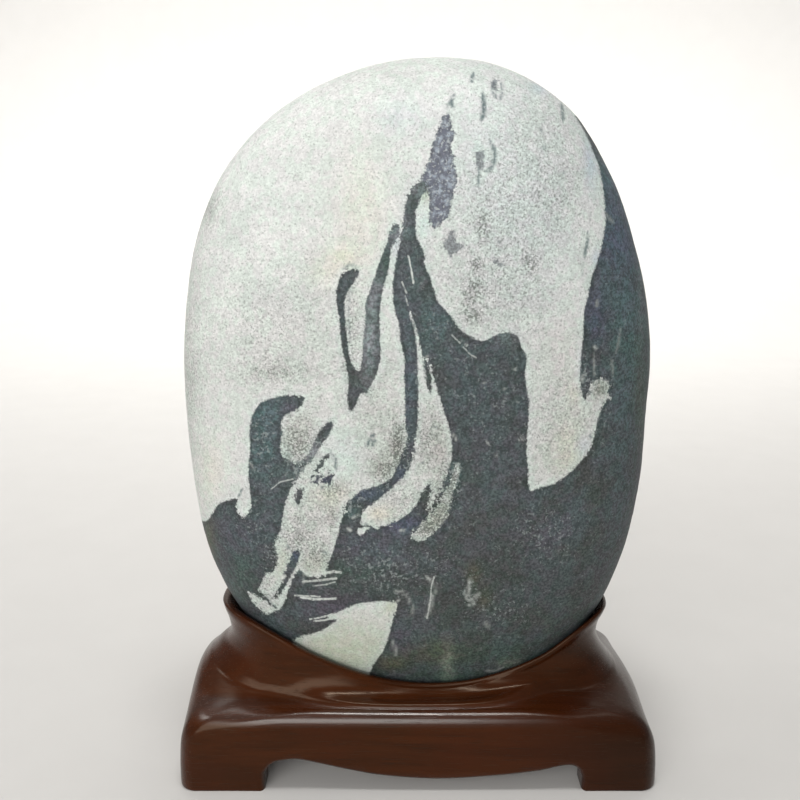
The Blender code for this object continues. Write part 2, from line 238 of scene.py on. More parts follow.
VIOLET_PATCH = [
    (449, 113), (443, 115), (441, 122), (437.5, 130), (434, 140), (432, 148), (429, 158), (426, 167),
    (422, 177), (420, 184), (428, 190), (430, 197), (429, 206), (429, 219), (431, 225), (435, 228.5),
    (440, 225), (445, 220), (449.5, 214), (451, 203), (453, 196), (457, 184), (457, 172),
    (454.5, 164), (454.5, 157), (450.5, 146), (455.5, 134), (452, 128), (450, 119),
]

# Lines drawn on the pale ground: points, width in pixels, strength
DARK_LINES = [
    ([(473, 73), (471, 84)], 3.4, 1.0),
    ([(495, 80), (493, 90), (496, 98)], 4.4, 0.75),
    ([(501, 82), (502, 92), (500, 101)], 3.2, 0.7),
    ([(483, 92), (483, 100), (484, 107), (483, 114), (481.5, 122)], 4.6, 1.0),
    ([(454, 95), (451, 102), (454, 108)], 4.2, 1.0),
    ([(448, 102), (448, 109)], 2.2, 0.4),
    ([(478.5, 166), (478.5, 178), (479, 188)], 2.6, 0.85),
    ([(490, 141), (494, 149), (495, 157), (491, 168), (485, 171)], 3.8, 0.85),
    ([(483, 168), (490, 174)], 2.2, 0.5),
    ([(561.5, 103), (562.5, 112), (563.5, 122)], 3.6, 0.8),
    ([(587.5, 232), (587, 243), (585, 253), (584, 259)], 3.6, 0.85),
    ([(590, 212), (590, 226)], 2.4, 0.3),
    ([(583, 262), (582, 277)], 2.6, 0.3),
    ([(374, 434), (369, 441), (366, 448)], 3.2, 1.0),
    ([(376, 438), (372, 446)], 2.6, 0.9),
    ([(354, 285), (350, 292), (349, 301), (349, 320), (349.5, 340)], 1.8, 0.45),
    ([(341, 270), (347, 266), (353, 265), (358, 269)], 2.4, 0.6),
    ([(331, 452), (334, 457), (336, 461), (335.5, 466), (339.5, 470.5)], 2.6, 0.9),
    ([(243, 487), (237.5, 499)], 2.2, 0.8),
    ([(399.3, 497.5), (399.3, 504)], 2.4, 0.9),
    ([(361, 524.8), (369, 523.8)], 2.0, 0.8),
    ([(371, 521), (383, 520.3)], 2.2, 0.6),
    ([(254, 589), (262, 595.5), (270, 602), (277, 609)], 2.6, 0.8),
    ([(535, 330.5), (537, 331.5)], 2.4, 0.5),
    ([(562, 172), (565, 174)], 2.6, 0.6),
    ([(320, 486.5), (324, 487.5)], 3.0, 0.7),
    ([(589, 434.5), (592, 437.5)], 2.4, 0.8),
    ([(556, 218.5), (558.5, 219.5)], 2.4, 0.6),
    ([(540, 129), (543, 134)], 4.0, 0.5),
    ([(541, 149), (545, 147)], 4.2, 0.5),
    ([(497, 241), (500, 243)], 2.6, 0.6),
    ([(433, 424), (436, 428)], 2.0, 0.5),
    ([(420, 461), (423, 463)], 2.4, 0.6),
    ([(286, 546), (289, 548)], 3.0, 0.7),
    ([(322, 551), (326, 553)], 3.0, 0.7),
]
# Crisp scratches on the dark ground: points, width in pixels, strength
SCRATCHES = [
    ([(408.5, 256), (411, 268), (413.5, 283)], 1.5, 0.9),
    ([(402, 282), (406.5, 293)], 1.2, 0.6),
    ([(405, 296), (408, 305)], 1.2, 0.6),
    ([(452, 335), (460, 343)], 1.2, 0.5),
    ([(463, 347), (470, 354), (476, 357.5)], 1.1, 0.5),
    ([(271, 489), (280, 482), (293, 479)], 1.1, 0.6),
    ([(328, 572.5), (334, 571.5), (341, 572.5)], 2.0, 0.9),
    ([(303, 581.5), (318, 580.5), (336, 578.5)], 1.8, 0.75),
    ([(313, 586), (326, 584.5), (335, 582)], 1.2, 0.6),
    ([(295, 595.3), (307, 596), (320, 596.5)], 1.3, 0.75),
    ([(301, 597.3), (315, 599.3), (336, 598.5)], 1.8, 0.95),
    ([(310, 619.2), (320, 617.6), (332, 614)], 1.3, 0.9),
    ([(314, 621), (325, 620), (337, 617)], 1.4, 0.8),
    ([(434, 577), (431, 588), (430.5, 600), (427, 618)], 1.3, 0.6),
]
# Softer bright lines drawn on the dark ground, in the same way
PALE_LINES = [
    ([(453, 433), (457, 442)], 2.0, 0.6),
    ([(519, 440), (525, 438)], 2.0, 0.6),
    ([(250, 462), (255, 471)], 2.0, 0.4),
    ([(302, 571), (304.5, 577), (302, 586)], 1.6, 0.4),
    ([(427, 576), (431, 581)], 3.0, 0.8),
    ([(434, 582), (434.5, 589)], 2.8, 0.45),
    ([(436, 591), (432, 598), (430.5, 608), (426.5, 618)], 3.4, 0.45),
    ([(394, 590.5), (403, 592.5), (409, 598), (412, 608), (412, 616)], 2.2, 0.4),
    ([(471, 576), (469, 586), (468, 598)], 3.4, 0.5),
    ([(466, 588), (466.5, 600)], 2.6, 0.45),
    ([(468, 601), (474, 598), (480, 592)], 3.6, 0.5),
    ([(469, 605), (476, 603)], 3.2, 0.5),
    ([(594, 350), (594.5, 378)], 2.2, 0.35),
    ([(594, 346), (596, 349)], 3.6, 0.6),
    ([(612, 358), (613, 376)], 2.6, 0.3),
    ([(616, 353), (619, 340), (621, 327)], 3.0, 0.25),
    ([(596, 308), (598, 298)], 3.2, 0.35),
    ([(391, 638), (395, 648), (396, 656)], 2.8, 0.4),
    ([(352, 518), (359, 515.5)], 2.4, 0.7),
    ([(606, 213), (609, 218), (614, 223)], 3.4, 0.35),
    ([(485, 670), (494, 671), (504, 667)], 2.4, 0.45),
    ([(584, 374), (582.5, 383)], 3.6, 0.55),
    ([(465, 345), (467.5, 345)], 2.2, 0.6),
    ([(426, 357), (428.5, 357)], 2.2, 0.7),
    ([(482, 383), (484.5, 383)], 2.0, 0.6),
    ([(503, 389), (505.5, 389)], 2.2, 0.6),
    ([(514, 369), (516, 369.5)], 2.0, 0.6),
    ([(496, 455), (498.5, 455)], 2.2, 0.6),
    ([(486, 443), (488.5, 443)], 2.0, 0.6),
    ([(348, 529.5), (351, 529.5)], 3.0, 0.9),
    ([(400, 530.5), (405, 531)], 2.8, 0.8),
    ([(396, 599.5), (399.5, 600.5)], 2.4, 0.7),
    ([(486, 622), (488, 627)], 4.0, 0.35),
]

# Tints and painted shade of the pale ground: linear colour, then for each place where it shows
# its middle, its reach across and down in pixels, and its strength
PALE_TINTS_AND_SHADE = {
    "grey_and_rim_shade": ((0.47, 0.5, 0.45), [
        (380, 430, 24, 34, 0.35), (294, 440, 16, 20, 0.55), (438, 445, 14, 34, 0.45),
        # The grey at the left rim, at (188, 365) and (204, 206), and along the top rim, at (430, 70), is
        # painted shade.
        (552, 458, 22, 20, 0.4), (188, 365, 7, 70, 0.25), (535, 120, 24, 40, 0.25),
        (310, 525, 20, 26, 0.1), (430, 70, 150, 20, 0.42), (204, 206, 10, 20, 0.35),
        (278, 372, 30, 9, 0.35),
    ]),
    "cream": ((0.74, 0.72, 0.57), [
        (363, 213, 26, 55, 0.35), (330, 272, 20, 16, 0.4), (345, 255, 16, 12, 0.6),
        (570, 448, 16, 28, 0.55), (574, 394, 8, 10, 0.4), (332, 495, 20, 12, 0.5), (378, 513, 14, 9, 0.7),
        (212, 470, 12, 30, 0.35),
    ]),
    "haze": ((0.52, 0.57, 0.6), [
        (400, 116, 24, 18, 0.4),
    ]),
    "sage": ((0.35, 0.39, 0.33), [
        (444, 502, 12, 28, 0.7), (600, 385, 8, 14, 0.6),
    ]),
    "moss": ((0.5, 0.56, 0.4), [
        (335, 655, 50, 26, 0.6), (315, 565, 18, 11, 0.4), (280, 563, 8, 14, 0.6),
        (350, 646, 55, 32, 0.45), (392, 606, 8, 10, 0.8), (424, 197, 5, 6, 0.8), (432, 520, 16, 16, 0.5),
    ]),
    "frost": ((0.66, 0.73, 0.74), [
        (520, 190, 80, 140, 0.5),
    ]),
    "mint": ((0.6, 0.72, 0.67), [
        (345, 455, 20, 24, 0.6), (287, 455, 8, 9, 0.8), (424, 225, 8, 15, 0.9), (480, 150, 12, 22, 0.4),
    ]),
    "sky": ((0.52, 0.61, 0.7), [
        (592, 158, 7, 28, 0.8), (597, 262, 5, 12, 0.8), (583, 368, 4, 14, 0.9), (583, 446, 8, 12, 0.6),
        (540, 88, 10, 6, 0.6), (396, 243, 6, 14, 0.5),
    ]),
    "earth": ((0.33, 0.31, 0.24), [
        (400, 452, 10, 12, 0.55), (382, 468, 12, 10, 0.3), (602, 388, 8, 9, 0.3),
    ]),
    "rose": ((0.66, 0.61, 0.59), [
        (440, 450, 9, 12, 0.6), (560, 375, 20, 34, 0.35), (300, 432, 12, 20, 0.4), (331, 515, 6, 12, 0.5),
        (560, 340, 26, 20, 0.3), (345, 635, 12, 14, 0.4),
    ]),
}
# Each tint and painted shade of the dark ground, in the same way
DARK_TINTS_AND_SHADE = {
    "steel": ((0.094, 0.124, 0.154), [
        (614, 210, 22, 80, 0.8), (410, 380, 8, 60, 0.55),
    ]),
    "slate": ((0.072, 0.096, 0.102), [
        (270, 440, 26, 60, 0.6), (410, 260, 26, 60, 0.6), (625, 420, 18, 90, 0.5), (345, 300, 8, 50, 0.5),
    ]),
    "fog": ((0.225, 0.262, 0.265), [
        (369, 325, 9, 62, 0.85), (412, 188, 14, 8, 0.6), (379, 287, 8, 12, 0.35), (395, 235, 7, 10, 0.8),
        (402, 215, 5, 13, 0.7), (505, 336, 16, 7, 0.5), (425, 200, 6, 8, 0.8), (300, 480, 14, 12, 0.3),
        (300, 462, 9, 7, 0.5), (314, 450, 10, 12, 0.75), (600, 150, 5, 16, 0.3), (640, 300, 4, 60, 0.2),
    ]),
    # The coal tint is painted shade: it darkens the lower part of the stone.
    "painted_low_shade": ((0.05, 0.059, 0.055), [
        (475, 590, 55, 50, 0.8), (565, 595, 40, 40, 0.5), (375, 585, 34, 24, 0.65),
    ]),
    "deep": ((0.056, 0.086, 0.09), [
        (245, 540, 32, 42, 0.45), (265, 450, 22, 52, 0.4),
    ]),
    "teal": ((0.075, 0.135, 0.138), [
        (435, 325, 18, 20, 0.5), (627, 340, 16, 60, 0.3), (265, 415, 16, 16, 0.9),
        (262, 450, 12, 22, 0.6), (603, 182, 8, 20, 0.8), (456, 474, 6, 12, 0.7), (350, 515, 9, 9, 0.5),
        (380, 555, 30, 20, 0.25),
    ]),
    "ridge": ((0.088, 0.134, 0.148), [
        (630, 330, 20, 90, 0.6),
    ]),
    "basalt": ((0.066, 0.086, 0.094), [
        (480, 390, 48, 75, 0.6),
    ]),
    "ink": ((0.036, 0.054, 0.052), [
        (341, 305, 5, 42, 0.85),
    ]),
    "lichen": ((0.23, 0.275, 0.215), [
        (448, 666, 6, 16, 0.85), (510, 664, 11, 5, 0.85),
    ]),
    "olive": ((0.082, 0.088, 0.045), [
        (484, 598, 7, 10, 0.6), (208, 545, 8, 24, 0.8), (474, 574, 7, 10, 0.9), (440, 650, 24, 12, 0.7),
        (396, 662, 16, 9, 0.8), (640, 390, 6, 60, 0.5),
    ]),
    "pine": ((0.05, 0.086, 0.066), [
        (455, 480, 5, 18, 0.5), (628, 345, 14, 26, 0.7), (386, 264, 5, 11, 0.8), (242, 570, 11, 26, 0.6),
        (352, 572, 22, 12, 0.6), (445, 676, 24, 7, 0.9), (500, 655, 60, 14, 0.5),
    ]),
    "plum": ((0.085, 0.078, 0.102), [
        (287, 408, 9, 8, 0.7), (368, 545, 28, 16, 0.8), (240, 538, 22, 16, 0.7), (330, 610, 34, 13, 0.7),
        (638, 480, 8, 30, 0.4), (400, 640, 10, 20, 0.7), (550, 530, 30, 24, 0.35),
        (432, 560, 40, 20, 0.25),
    ]),
    "indigo": ((0.075, 0.088, 0.132), [
        (405, 525, 26, 9, 0.8), (618, 242, 16, 22, 0.8), (597, 318, 12, 28, 0.7), (366, 494, 18, 7, 0.8),
        (400, 475, 8, 14, 0.7), (325, 480, 10, 6, 0.8), (296, 555, 5, 6, 0.9),
    ]),
}
# Places where dark grains crowd on the pale ground: place, reach across and down, amount
DARK_GRAINS = [
    (398, 445, 9, 22, 1.0), (385, 470, 14, 12, 0.8), (427, 189, 8, 7, 0.9), (476, 265, 7, 8, 0.8),
    (475, 286, 8, 7, 0.8), (469, 298, 6, 8, 0.7), (472, 314, 10, 8, 0.7), (530, 263, 8, 10, 0.7),
    (482, 230, 6, 8, 0.6), (430, 525, 24, 20, 0.9), (600, 389, 10, 11, 0.6), (335, 490, 14, 9, 0.6),
    (300, 445, 12, 18, 0.5), (295, 540, 18, 22, 0.55), (320, 556, 14, 14, 0.6), (332, 515, 7, 14, 0.5),
    (500, 220, 60, 70, 0.30), (500, 300, 50, 40, 0.30), (294, 403, 6, 6, 0.8), (430, 440, 18, 34, 0.55),
    (540, 140, 50, 70, 0.22), (280, 330, 60, 60, 0.20), (560, 420, 40, 60, 0.28), (295, 440, 20, 26, 0.60),
    # The grains crowded along the left rim, at (190, 380) and (205, 205), are painted shade there.
    (310, 520, 26, 50, 0.28), (190, 380, 14, 90, 0.25), (205, 205, 14, 22, 0.40), (482, 224, 6, 10, 0.60),
    (275, 372, 34, 9, 0.40), (352, 330, 10, 50, 0.40), (445, 500, 14, 30, 0.60), (375, 410, 30, 60, 0.22),
    (396, 500, 26, 20, 0.35), (265, 590, 14, 22, 0.4), (560, 200, 20, 40, 0.2), (454, 475, 8, 16, 1.0),
]
# Places where the edge between the grounds is broken up, in the same way
SOFT_EDGES = [
    (452, 241, 13, 14, 0.9), (495, 85, 8, 12, 1.0), (480, 158, 9, 12, 0.8), (498, 262, 9, 7, 0.8),
    (397, 230, 9, 12, 0.8), (412, 188, 16, 12, 0.9), (350, 270, 12, 8, 0.5), (432, 366, 9, 18, 0.6),
    (300, 405, 9, 9, 0.5), (296, 446, 14, 20, 0.45), (302, 478, 16, 22, 0.5), (322, 476, 16, 14, 0.7),
    (348, 508, 14, 14, 0.6), (410, 455, 9, 26, 0.55), (440, 500, 16, 30, 0.6), (415, 534, 12, 8, 0.6),
    (385, 526, 26, 7, 0.45), (280, 560, 16, 30, 0.35), (262, 604, 16, 12, 0.5), (330, 572, 20, 8, 0.5),
    (600, 388, 12, 14, 1.0), (588, 420, 10, 26, 0.4), (446, 668, 14, 22, 0.9), (510, 664, 16, 8, 0.7),
    (300, 645, 16, 12, 0.4), (392, 610, 8, 12, 0.4), (245, 508, 10, 10, 0.4), (530, 470, 10, 20, 0.3),
]
# Places where pale grains crowd on the dark ground
PALE_GRAINS = [
    (385, 572, 30, 20, 0.7), (355, 555, 22, 18, 0.4), (425, 375, 10, 20, 0.7), (355, 505, 12, 12, 0.9),
    (385, 485, 14, 8, 0.7), (300, 470, 14, 12, 0.8), (316, 446, 12, 16, 0.8), (404, 450, 8, 26, 0.8),
    (262, 440, 16, 36, 0.6), (250, 520, 22, 24, 0.4), (598, 385, 12, 10, 1.0), (585, 375, 6, 16, 0.8),
    (500, 610, 30, 16, 0.5), (545, 535, 34, 28, 0.55), (455, 480, 8, 22, 0.9), (490, 400, 40, 50, 0.3),
    (440, 330, 20, 20, 0.35), (600, 420, 14, 30, 0.3), (470, 590, 10, 16, 0.6), (430, 560, 30, 30, 0.3),
    (270, 560, 16, 24, 0.5),
]

# The back is not in the photograph: its pattern is made up, and meets the front at the rim
BACK_BODY = [
    (190, 522), (206, 521), (225, 502), (243, 474), (262, 455), (290, 450), (318, 462), (345, 452),
    (362, 420), (370, 382), (384, 348), (410, 322), (440, 312), (470, 285), (488, 250), (496, 215),
    (512, 196), (536, 178), (562, 166), (586, 146), (604, 132), (720, 250), (740, 480), (650, 700),
    (400, 760), (200, 700), (150, 560),
]
BACK_STRIPE = [
    (298, 452), (290, 415), (286, 380), (294, 330), (318, 282), (334, 240), (338, 205), (332, 180),
    (345, 178), (352, 205), (350, 244), (336, 290), (314, 338), (306, 382), (312, 420), (318, 455),
]
BACK_LEAF = [
    (454, 478), (466, 446), (482, 424), (490, 396), (512, 384), (536, 360), (572, 338), (562, 366),
    (566, 392), (544, 406), (526, 432), (502, 440), (484, 462),
]
BACK_SLIVER = [
    (276, 596), (306, 560), (340, 552), (366, 530), (404, 526), (458, 500), (430, 532), (404, 540),
    (380, 560), (344, 568), (322, 588), (300, 590),
]
BACK_STARTS = -2 * MM
BACK_FULL = 13 * MM
# How soft the edge is and how crowded the grains are behind
BACK_SOFTNESS = 0.45
BACK_GRAINS = 0.3
# Pixels by which the back is kept away from the scratches
OUT_OF_VIEW = 100.0
# Pixels within which the depth inside an outline is worked out
MARK_REACH = 14.0
# Pieces that each stretch of a drawn outline or line is bent in
BEND_STEPS = 4
# A drawn line thins out towards its ends, down to this share; its core and its faded edge are
# shares of half its width
LINE_TAPER = 4.5
LINE_THINNEST = 0.12
LINE_CORE = 0.3
LINE_FADED = 1.6

# Colours of the stone's two grounds and of its marks, linear
PALE_STONE = (0.695, 0.718, 0.680)
PALE_CLOUD = (0.625, 0.652, 0.620)
PALE_DRIFT = (0.645, 0.657, 0.625)
PALE_RIM = (0.600, 0.690, 0.650)
PALE_SPECK = (0.115, 0.130, 0.112)
DARK_STROKE = (0.085, 0.125, 0.130)
DARK_STONE = (0.070, 0.086, 0.091)
DARK_CLOUD = (0.056, 0.066, 0.061)
DARK_DRIFT = (0.066, 0.071, 0.076)
DARK_SPECK = (0.36, 0.40, 0.385)
PALE_STROKE = (0.55, 0.58, 0.54)
SCRATCH = (0.62, 0.65, 0.61)
VIOLET_DEEP = (0.098, 0.106, 0.145)
VIOLET_LIGHT = (0.290, 0.335, 0.385)
VIOLET_SPECK = (0.070, 0.074, 0.096)
VIOLET_GRAIN = (0.52, 0.55, 0.54)
BLOT_DEEP = (0.085, 0.096, 0.105)
BLOT_LIGHT = (0.225, 0.245, 0.255)
# Colours of the wood and tints of its sheen
WOOD_DEEP = (0.0317, 0.0078, 0.0017)
WOOD_LIGHT = (0.0480, 0.0116, 0.0024)
WOOD_STREAK = (0.0176, 0.0050, 0.0014)
WOOD_GLOW = (0.0652, 0.0160, 0.0033)
WOOD_PATCH = (0.0500, 0.0090, 0.0021)
WOOD_PORE = (0.0092, 0.0033, 0.0010)
WOOD_SHEEN = (0.31, 0.25, 0.185)
CREST_SHEEN = (1.0, 1.0, 0.96)
# Where painted shade darkens the wood towards the right, and between which heights and how far across it is
# rubbed
RIGHT_PAINTED_SHADE = (20 * MM, 85 * MM)
CREST_LOW = (24.5 * MM, 27.5 * MM)
CREST_HIGH = (29.1 * MM, 30.8 * MM)
CREST_FADES = (10 * MM, 60 * MM)
BUMP_DEPTH = 0.05 * MM

# Floor, in metres
FLOOR_FRONT = -1.6
FLOOR_BACK = 0.75
FLOOR_BEND = 0.55
FLOOR_STEPS = 16
FLOOR_REACH = 2.4
FLOOR_DEEP = (0.58, 0.565, 0.54)
FLOOR_LIGHT = (0.61, 0.595, 0.57)
# Each light: name, place, what it is aimed at, width and height, watts and spread in degrees
MIDDLE = (0.0, 0.0, 0.12)
LIGHTS = [
    ("key_light", (-0.38, -1.0, 0.50), MIDDLE, (1.1, 0.6), 8.9, 180),
    ("top_light", (0.02, -0.16, 1.02), MIDDLE, (0.30, 0.15), 3.3, 180),
    ("side_light", (-0.75, 0.0, 0.85), MIDDLE, (0.20, 0.20), 1.0, 180),
    ("backdrop_light", (0.0, 0.55, 1.9), (0.0, 1.3, 0.5), (2.4, 0.4), 24.0, 100),
]
ROOM_SHADES = {"From Min": -0.1, "From Max": 0.9, "To Min": 0.30, "To Max": 0.34}


def smooth_share(low, high, value):
    """0 below low, 1 above high, and an even turn between."""
    part = np.clip((value - low) / (high - low), 0.0, 1.0)
    return part * part * (3 - 2 * part)


def cubic(here, after, slope_here, slope_after, part):
    """A value a part of the way from one to the next, with the slopes at both given."""
    return (
        here * (1 - part) ** 2 * (1 + 2 * part)
        + after * part**2 * (3 - 2 * part)
        + slope_here * part * (1 - part) ** 2
        - slope_after * part**2 * (1 - part)
    )


def outline_radius(angle):
    """Distance from the stone's centre to its outline; angle clockwise from straight up."""
    radii = np.array(STONE_OUTLINE) * MM
    count = len(radii)
    place = np.mod(np.degrees(angle) / STONE_OUTLINE_STEP, count)
    first = np.floor(place).astype(int)
    before, here, after, beyond = (radii[(first + k) % count] for k in (-1, 0, 1, 2))
    return cubic(here, after, (after - before) / 2, (beyond - here) / 2, place - first)


def face_flatness(angle):
    """The picture face stays flat out to the left edge and falls away sooner to the right."""
    return FACE_FLATNESS - FACE_FLATNESS_SWING * np.sin(angle)


def face_swell(across, height):
    """Slow hollows and swells of the water-worn faces, as a share of the depth."""
    u = across / SWELL_SPAN
    v = (height - STONE_CENTRE_HEIGHT) / SWELL_SPAN
    return 1 + sum(high * np.sin(a * u + b * v + start) for high, a, b, start in SWELLS)


def stone_points(angle, turn, front):
    """Points of the stone: turn runs from 0 at the middle of a face to a quarter turn at the rim."""
    reach = np.sin(turn) ** (2 / face_flatness(angle))
    radius = outline_radius(angle) * reach
    across = radius * np.sin(angle)
    height = STONE_CENTRE_HEIGHT + radius * np.cos(angle)
    depth = STONE_FRONT_DEPTH if front else STONE_BACK_DEPTH
    out = depth * np.maximum(np.cos(turn), 0.0) ** (2 / EDGE_ROUNDNESS) * face_swell(across, height)
    return np.column_stack([across, -out if front else out, height])


def stone_half_depth(across, height, front, clearance):
    """Half the stone's thickness, grown by the clearance, at places of its face; 0 outside it."""
    rise = height - STONE_CENTRE_HEIGHT
    angle = np.arctan2(across, rise)
    share = np.minimum(np.hypot(across, rise) / (outline_radius(angle) + clearance), 1.0)
    depth = np.where(front, STONE_FRONT_DEPTH, STONE_BACK_DEPTH) * face_swell(across, height)
    return (depth + clearance) * (1 - share ** face_flatness(angle)) ** (1 / EDGE_ROUNDNESS)


def smooth_line(points, place):
    """Heights at places along a line of points, by cubic pieces with no corner between them."""
    xs = np.array([point[0] for point in points])
    zs = np.array([point[1] for point in points])
    slopes = np.empty(len(xs))
    slopes[1:-1] = (zs[2:] - zs[:-2]) / (xs[2:] - xs[:-2])
    slopes[0] = (zs[1] - zs[0]) / (xs[1] - xs[0])
    slopes[-1] = (zs[-1] - zs[-2]) / (xs[-1] - xs[-2])
    place = np.clip(place, xs[0], xs[-1])
    first = np.clip(np.searchsorted(xs, place, side="right") - 1, 0, len(xs) - 2)
    span = xs[first + 1] - xs[first]
    part = (place - xs[first]) / span
    return cubic(zs[first], zs[first + 1], slopes[first] * span, slopes[first + 1] * span, part)


def lip_height(across):
    """Height of the lip's crest over places across the stand."""
    return smooth_line(LIP_LINE, across / MM) * MM


def new_mesh_object(name, points, faces):
    """A closed mesh object with outward faces and smooth shading."""
    mesh = bpy.data.meshes.new(name)
    mesh.from_pydata([tuple(point) for point in points], [], faces)
    shape = bmesh.new()
    shape.from_mesh(mesh)
    bmesh.ops.recalc_face_normals(shape, faces=shape.faces)
    shape.to_mesh(mesh)
    shape.free()
    mesh.shade_smooth()
    body = bpy.data.objects.new(name, mesh)
    bpy.context.scene.collection.objects.link(body)
    return body


def stitch(outer, inner):
    """Triangles between two rings of point numbers of any counts, both starting straight up."""
    faces = []
    i = 0
    j = 0
    while i < len(outer) or j < len(inner):
        next_i = outer[(i + 1) % len(outer)]
        next_j = inner[(j + 1) % len(inner)]
        here_i = outer[i % len(outer)]
        here_j = inner[j % len(inner)]
        if (i + 1) * len(inner) <= (j + 1) * len(outer):
            faces.append((here_i, next_i, here_j))
            i += 1
        else:
            faces.append((here_i, next_j, here_j))
            j += 1
    return faces


def even_turns(rings):
    """Turns from the middle of a face to the rim that lie evenly far apart on the skin."""
    turns = math.pi / 2 * np.linspace(0.0, 1.0, TURN_SAMPLES) ** 2
    reach = RING_REACH * np.sin(turns) ** (2 / FACE_FLATNESS)
    depth = STONE_FRONT_DEPTH * np.maximum(np.cos(turns), 0.0) ** (2 / EDGE_ROUNDNESS)
    steps = np.hypot(np.diff(reach), np.diff(depth))
    length = np.concatenate([[0.0], np.cumsum(steps)])
    return np.interp(np.linspace(0.0, length[-1], rings + 1), length, turns)


def stone_mesh():
    """The stone's skin, fine in front and coarser behind, with its water-worn relief."""
    points = []
    faces = []
    count = 0
    rings = []
    levels = [(turn, k, True) for k, turn in enumerate(even_turns(FRONT_RINGS))]
    levels += [(turn, k, False) for k, turn in enumerate(even_turns(BACK_RINGS))][-2::-1]
    for turn, ring, front in levels:
        around = max(POINTS_MORE_PER_RING * ring, 1)
        angles = 2 * math.pi * np.arange(around) / around
        points.append(stone_points(angles, np.full(around, turn), front))
        rings.append(list(range(count, count + around)))
        count += around
    for here, following in zip(rings, rings[1:]):
        wide, narrow = (following, here) if len(following) > len(here) else (here, following)
        if len(narrow) == 1:
            faces += [(a, b, narrow[0]) for a, b in zip(wide, wide[1:] + wide[:1])]
        else:
            faces += stitch(wide, narrow)
    points = np.concatenate(points)
    stone = new_mesh_object("picture_stone", points, faces)
    normals = np.empty(points.size)
    stone.data.vertices.foreach_get("normal", normals)
    rise = np.zeros(len(points))
    for height, scale in RELIEF:
        rise += height * np.array([noise.noise(Vector(point) * scale) for point in points])
    worn = points + normals.reshape(-1, 3) * rise[:, None]
    stone.data.vertices.foreach_set("co", worn.ravel())
    stone.data.update()
    return stone, points


def rounded(line, closed, steps=BEND_STEPS):
    """A line of points with smooth bends put through it."""
    line = np.array(line, dtype=float)
    if closed:
        padded = np.concatenate([line[-1:], line, line[:2]])
    else:
        padded = np.concatenate([2 * line[:1] - line[1:2], line, 2 * line[-1:] - line[-2:-1]])
    result = []
    for before, here, after, beyond in zip(padded, padded[1:], padded[2:], padded[3:]):
        slopes = ((after - before) / 2, (beyond - here) / 2)
        result += [cubic(here, after, *slopes, k / steps) for k in range(steps)]
    if not closed:
        result.append(line[-1])
    return np.array(result)


def in_view(points):
    """Where points of the front lie in the view; points behind are taken over to the front."""
    right = points[:, 0] - CAMERA_PLACE[0]
    ahead = -np.abs(points[:, 1]) - CAMERA_PLACE[1]
    rise = points[:, 2] - CAMERA_PLACE[2]
    away = ahead * math.cos(CAMERA_TILT) - rise * math.sin(CAMERA_TILT)
    up = ahead * math.sin(CAMERA_TILT) + rise * math.cos(CAMERA_TILT)
    return VIEW_MIDDLE + VIEW_FOCUS * right / away, VIEW_MIDDLE - VIEW_FOCUS * up / away


def depth_inside(u, v, outline, reach=MARK_REACH):
    """How far places lie inside a closed outline, in pixels; outside it is below zero."""
    line = rounded(outline, True)
    low = line.min(axis=0) - reach
    high = line.max(axis=0) + reach
    close = (u > low[0]) & (u < high[0]) & (v > low[1]) & (v < high[1])
    x = u[close]
    y = v[close]
    nearest = np.full(x.shape, reach**2)
    inside = np.zeros(x.shape, dtype=bool)
    for (x0, y0), (x1, y1) in zip(line, np.roll(line, -1, axis=0)):
        dx = x1 - x0
        dy = y1 - y0
        part = np.clip(((x - x0) * dx + (y - y0) * dy) / (dx * dx + dy * dy + 1e-9), 0.0, 1.0)
        nearest = np.minimum(nearest, (x - x0 - part * dx) ** 2 + (y - y0 - part * dy) ** 2)
        if y0 != y1:
            inside ^= ((y0 > y) != (y1 > y)) & (x < x0 + (y - y0) * dx / dy)
    result = np.full(u.shape, -reach)
    result[close] = np.where(inside, 1.0, -1.0) * np.sqrt(nearest)
    return result


def line_cover(u, v, lines):
    """How strongly the drawn lines cover places; each line thins out towards its ends."""
    cover = np.zeros(u.shape)
    for points, width, strength in lines:
        line = rounded(points, False)
        lengths = np.hypot(*np.diff(line, axis=0).T)
        total = lengths.sum()
        run = 0.0
        for (x0, y0), (x1, y1), length in zip(line, line[1:], lengths):
            dx = (x1 - x0) / length
            dy = (y1 - y0) / length
            along = np.clip((u - x0) * dx + (v - y0) * dy, 0.0, length)
            away = np.hypot(u - x0 - along * dx, v - y0 - along * dy)
            share = (run + along) / total
            taper = np.clip(LINE_TAPER * np.minimum(share, 1 - share), LINE_THINNEST, 1.0)
            faded = smooth_share(LINE_CORE, LINE_FADED, away / (width / 2 * np.sqrt(taper)))
            cover = np.maximum(cover, strength * (1 - faded))
            run += length
    return cover


def tint_field(u, v, tints):
    """Blended tint and its strength, as four channels."""
    total = np.full(u.shape, 1e-6)
    colour = np.zeros((len(u), 3))
    clear = np.ones(u.shape)
    for tint, places in tints.values():
        for x, y, across, down, strength in places:
            share = strength * np.exp(-(((u - x) / across) ** 2) - ((v - y) / down) ** 2)
            total += share
            colour += share[:, None] * np.array(tint)
            clear *= 1 - share
    return np.column_stack([colour / total[:, None], 1 - clear])


def grain_field(u, v, places):
    """How crowded the grains are."""
    clear = np.ones(u.shape)
    for x, y, across, down, amount in places:
        clear *= 1 - amount * np.exp(-(((u - x) / across) ** 2) - ((v - y) / down) ** 2)
    return 1 - clear


def store(mesh, name, values):
    """Keep a number, a vector or a four-channel colour at every point of the mesh."""
    channels = 1 if values.ndim == 1 else values.shape[1]
    kind, channel = {
        1: ("FLOAT", "value"), 3: ("FLOAT_VECTOR", "vector"), 4: ("FLOAT_COLOR", "color"),
    }[channels]
    field = mesh.attributes.new(name, kind, "POINT")
    field.data.foreach_set(channel, values.astype(np.float32).ravel())


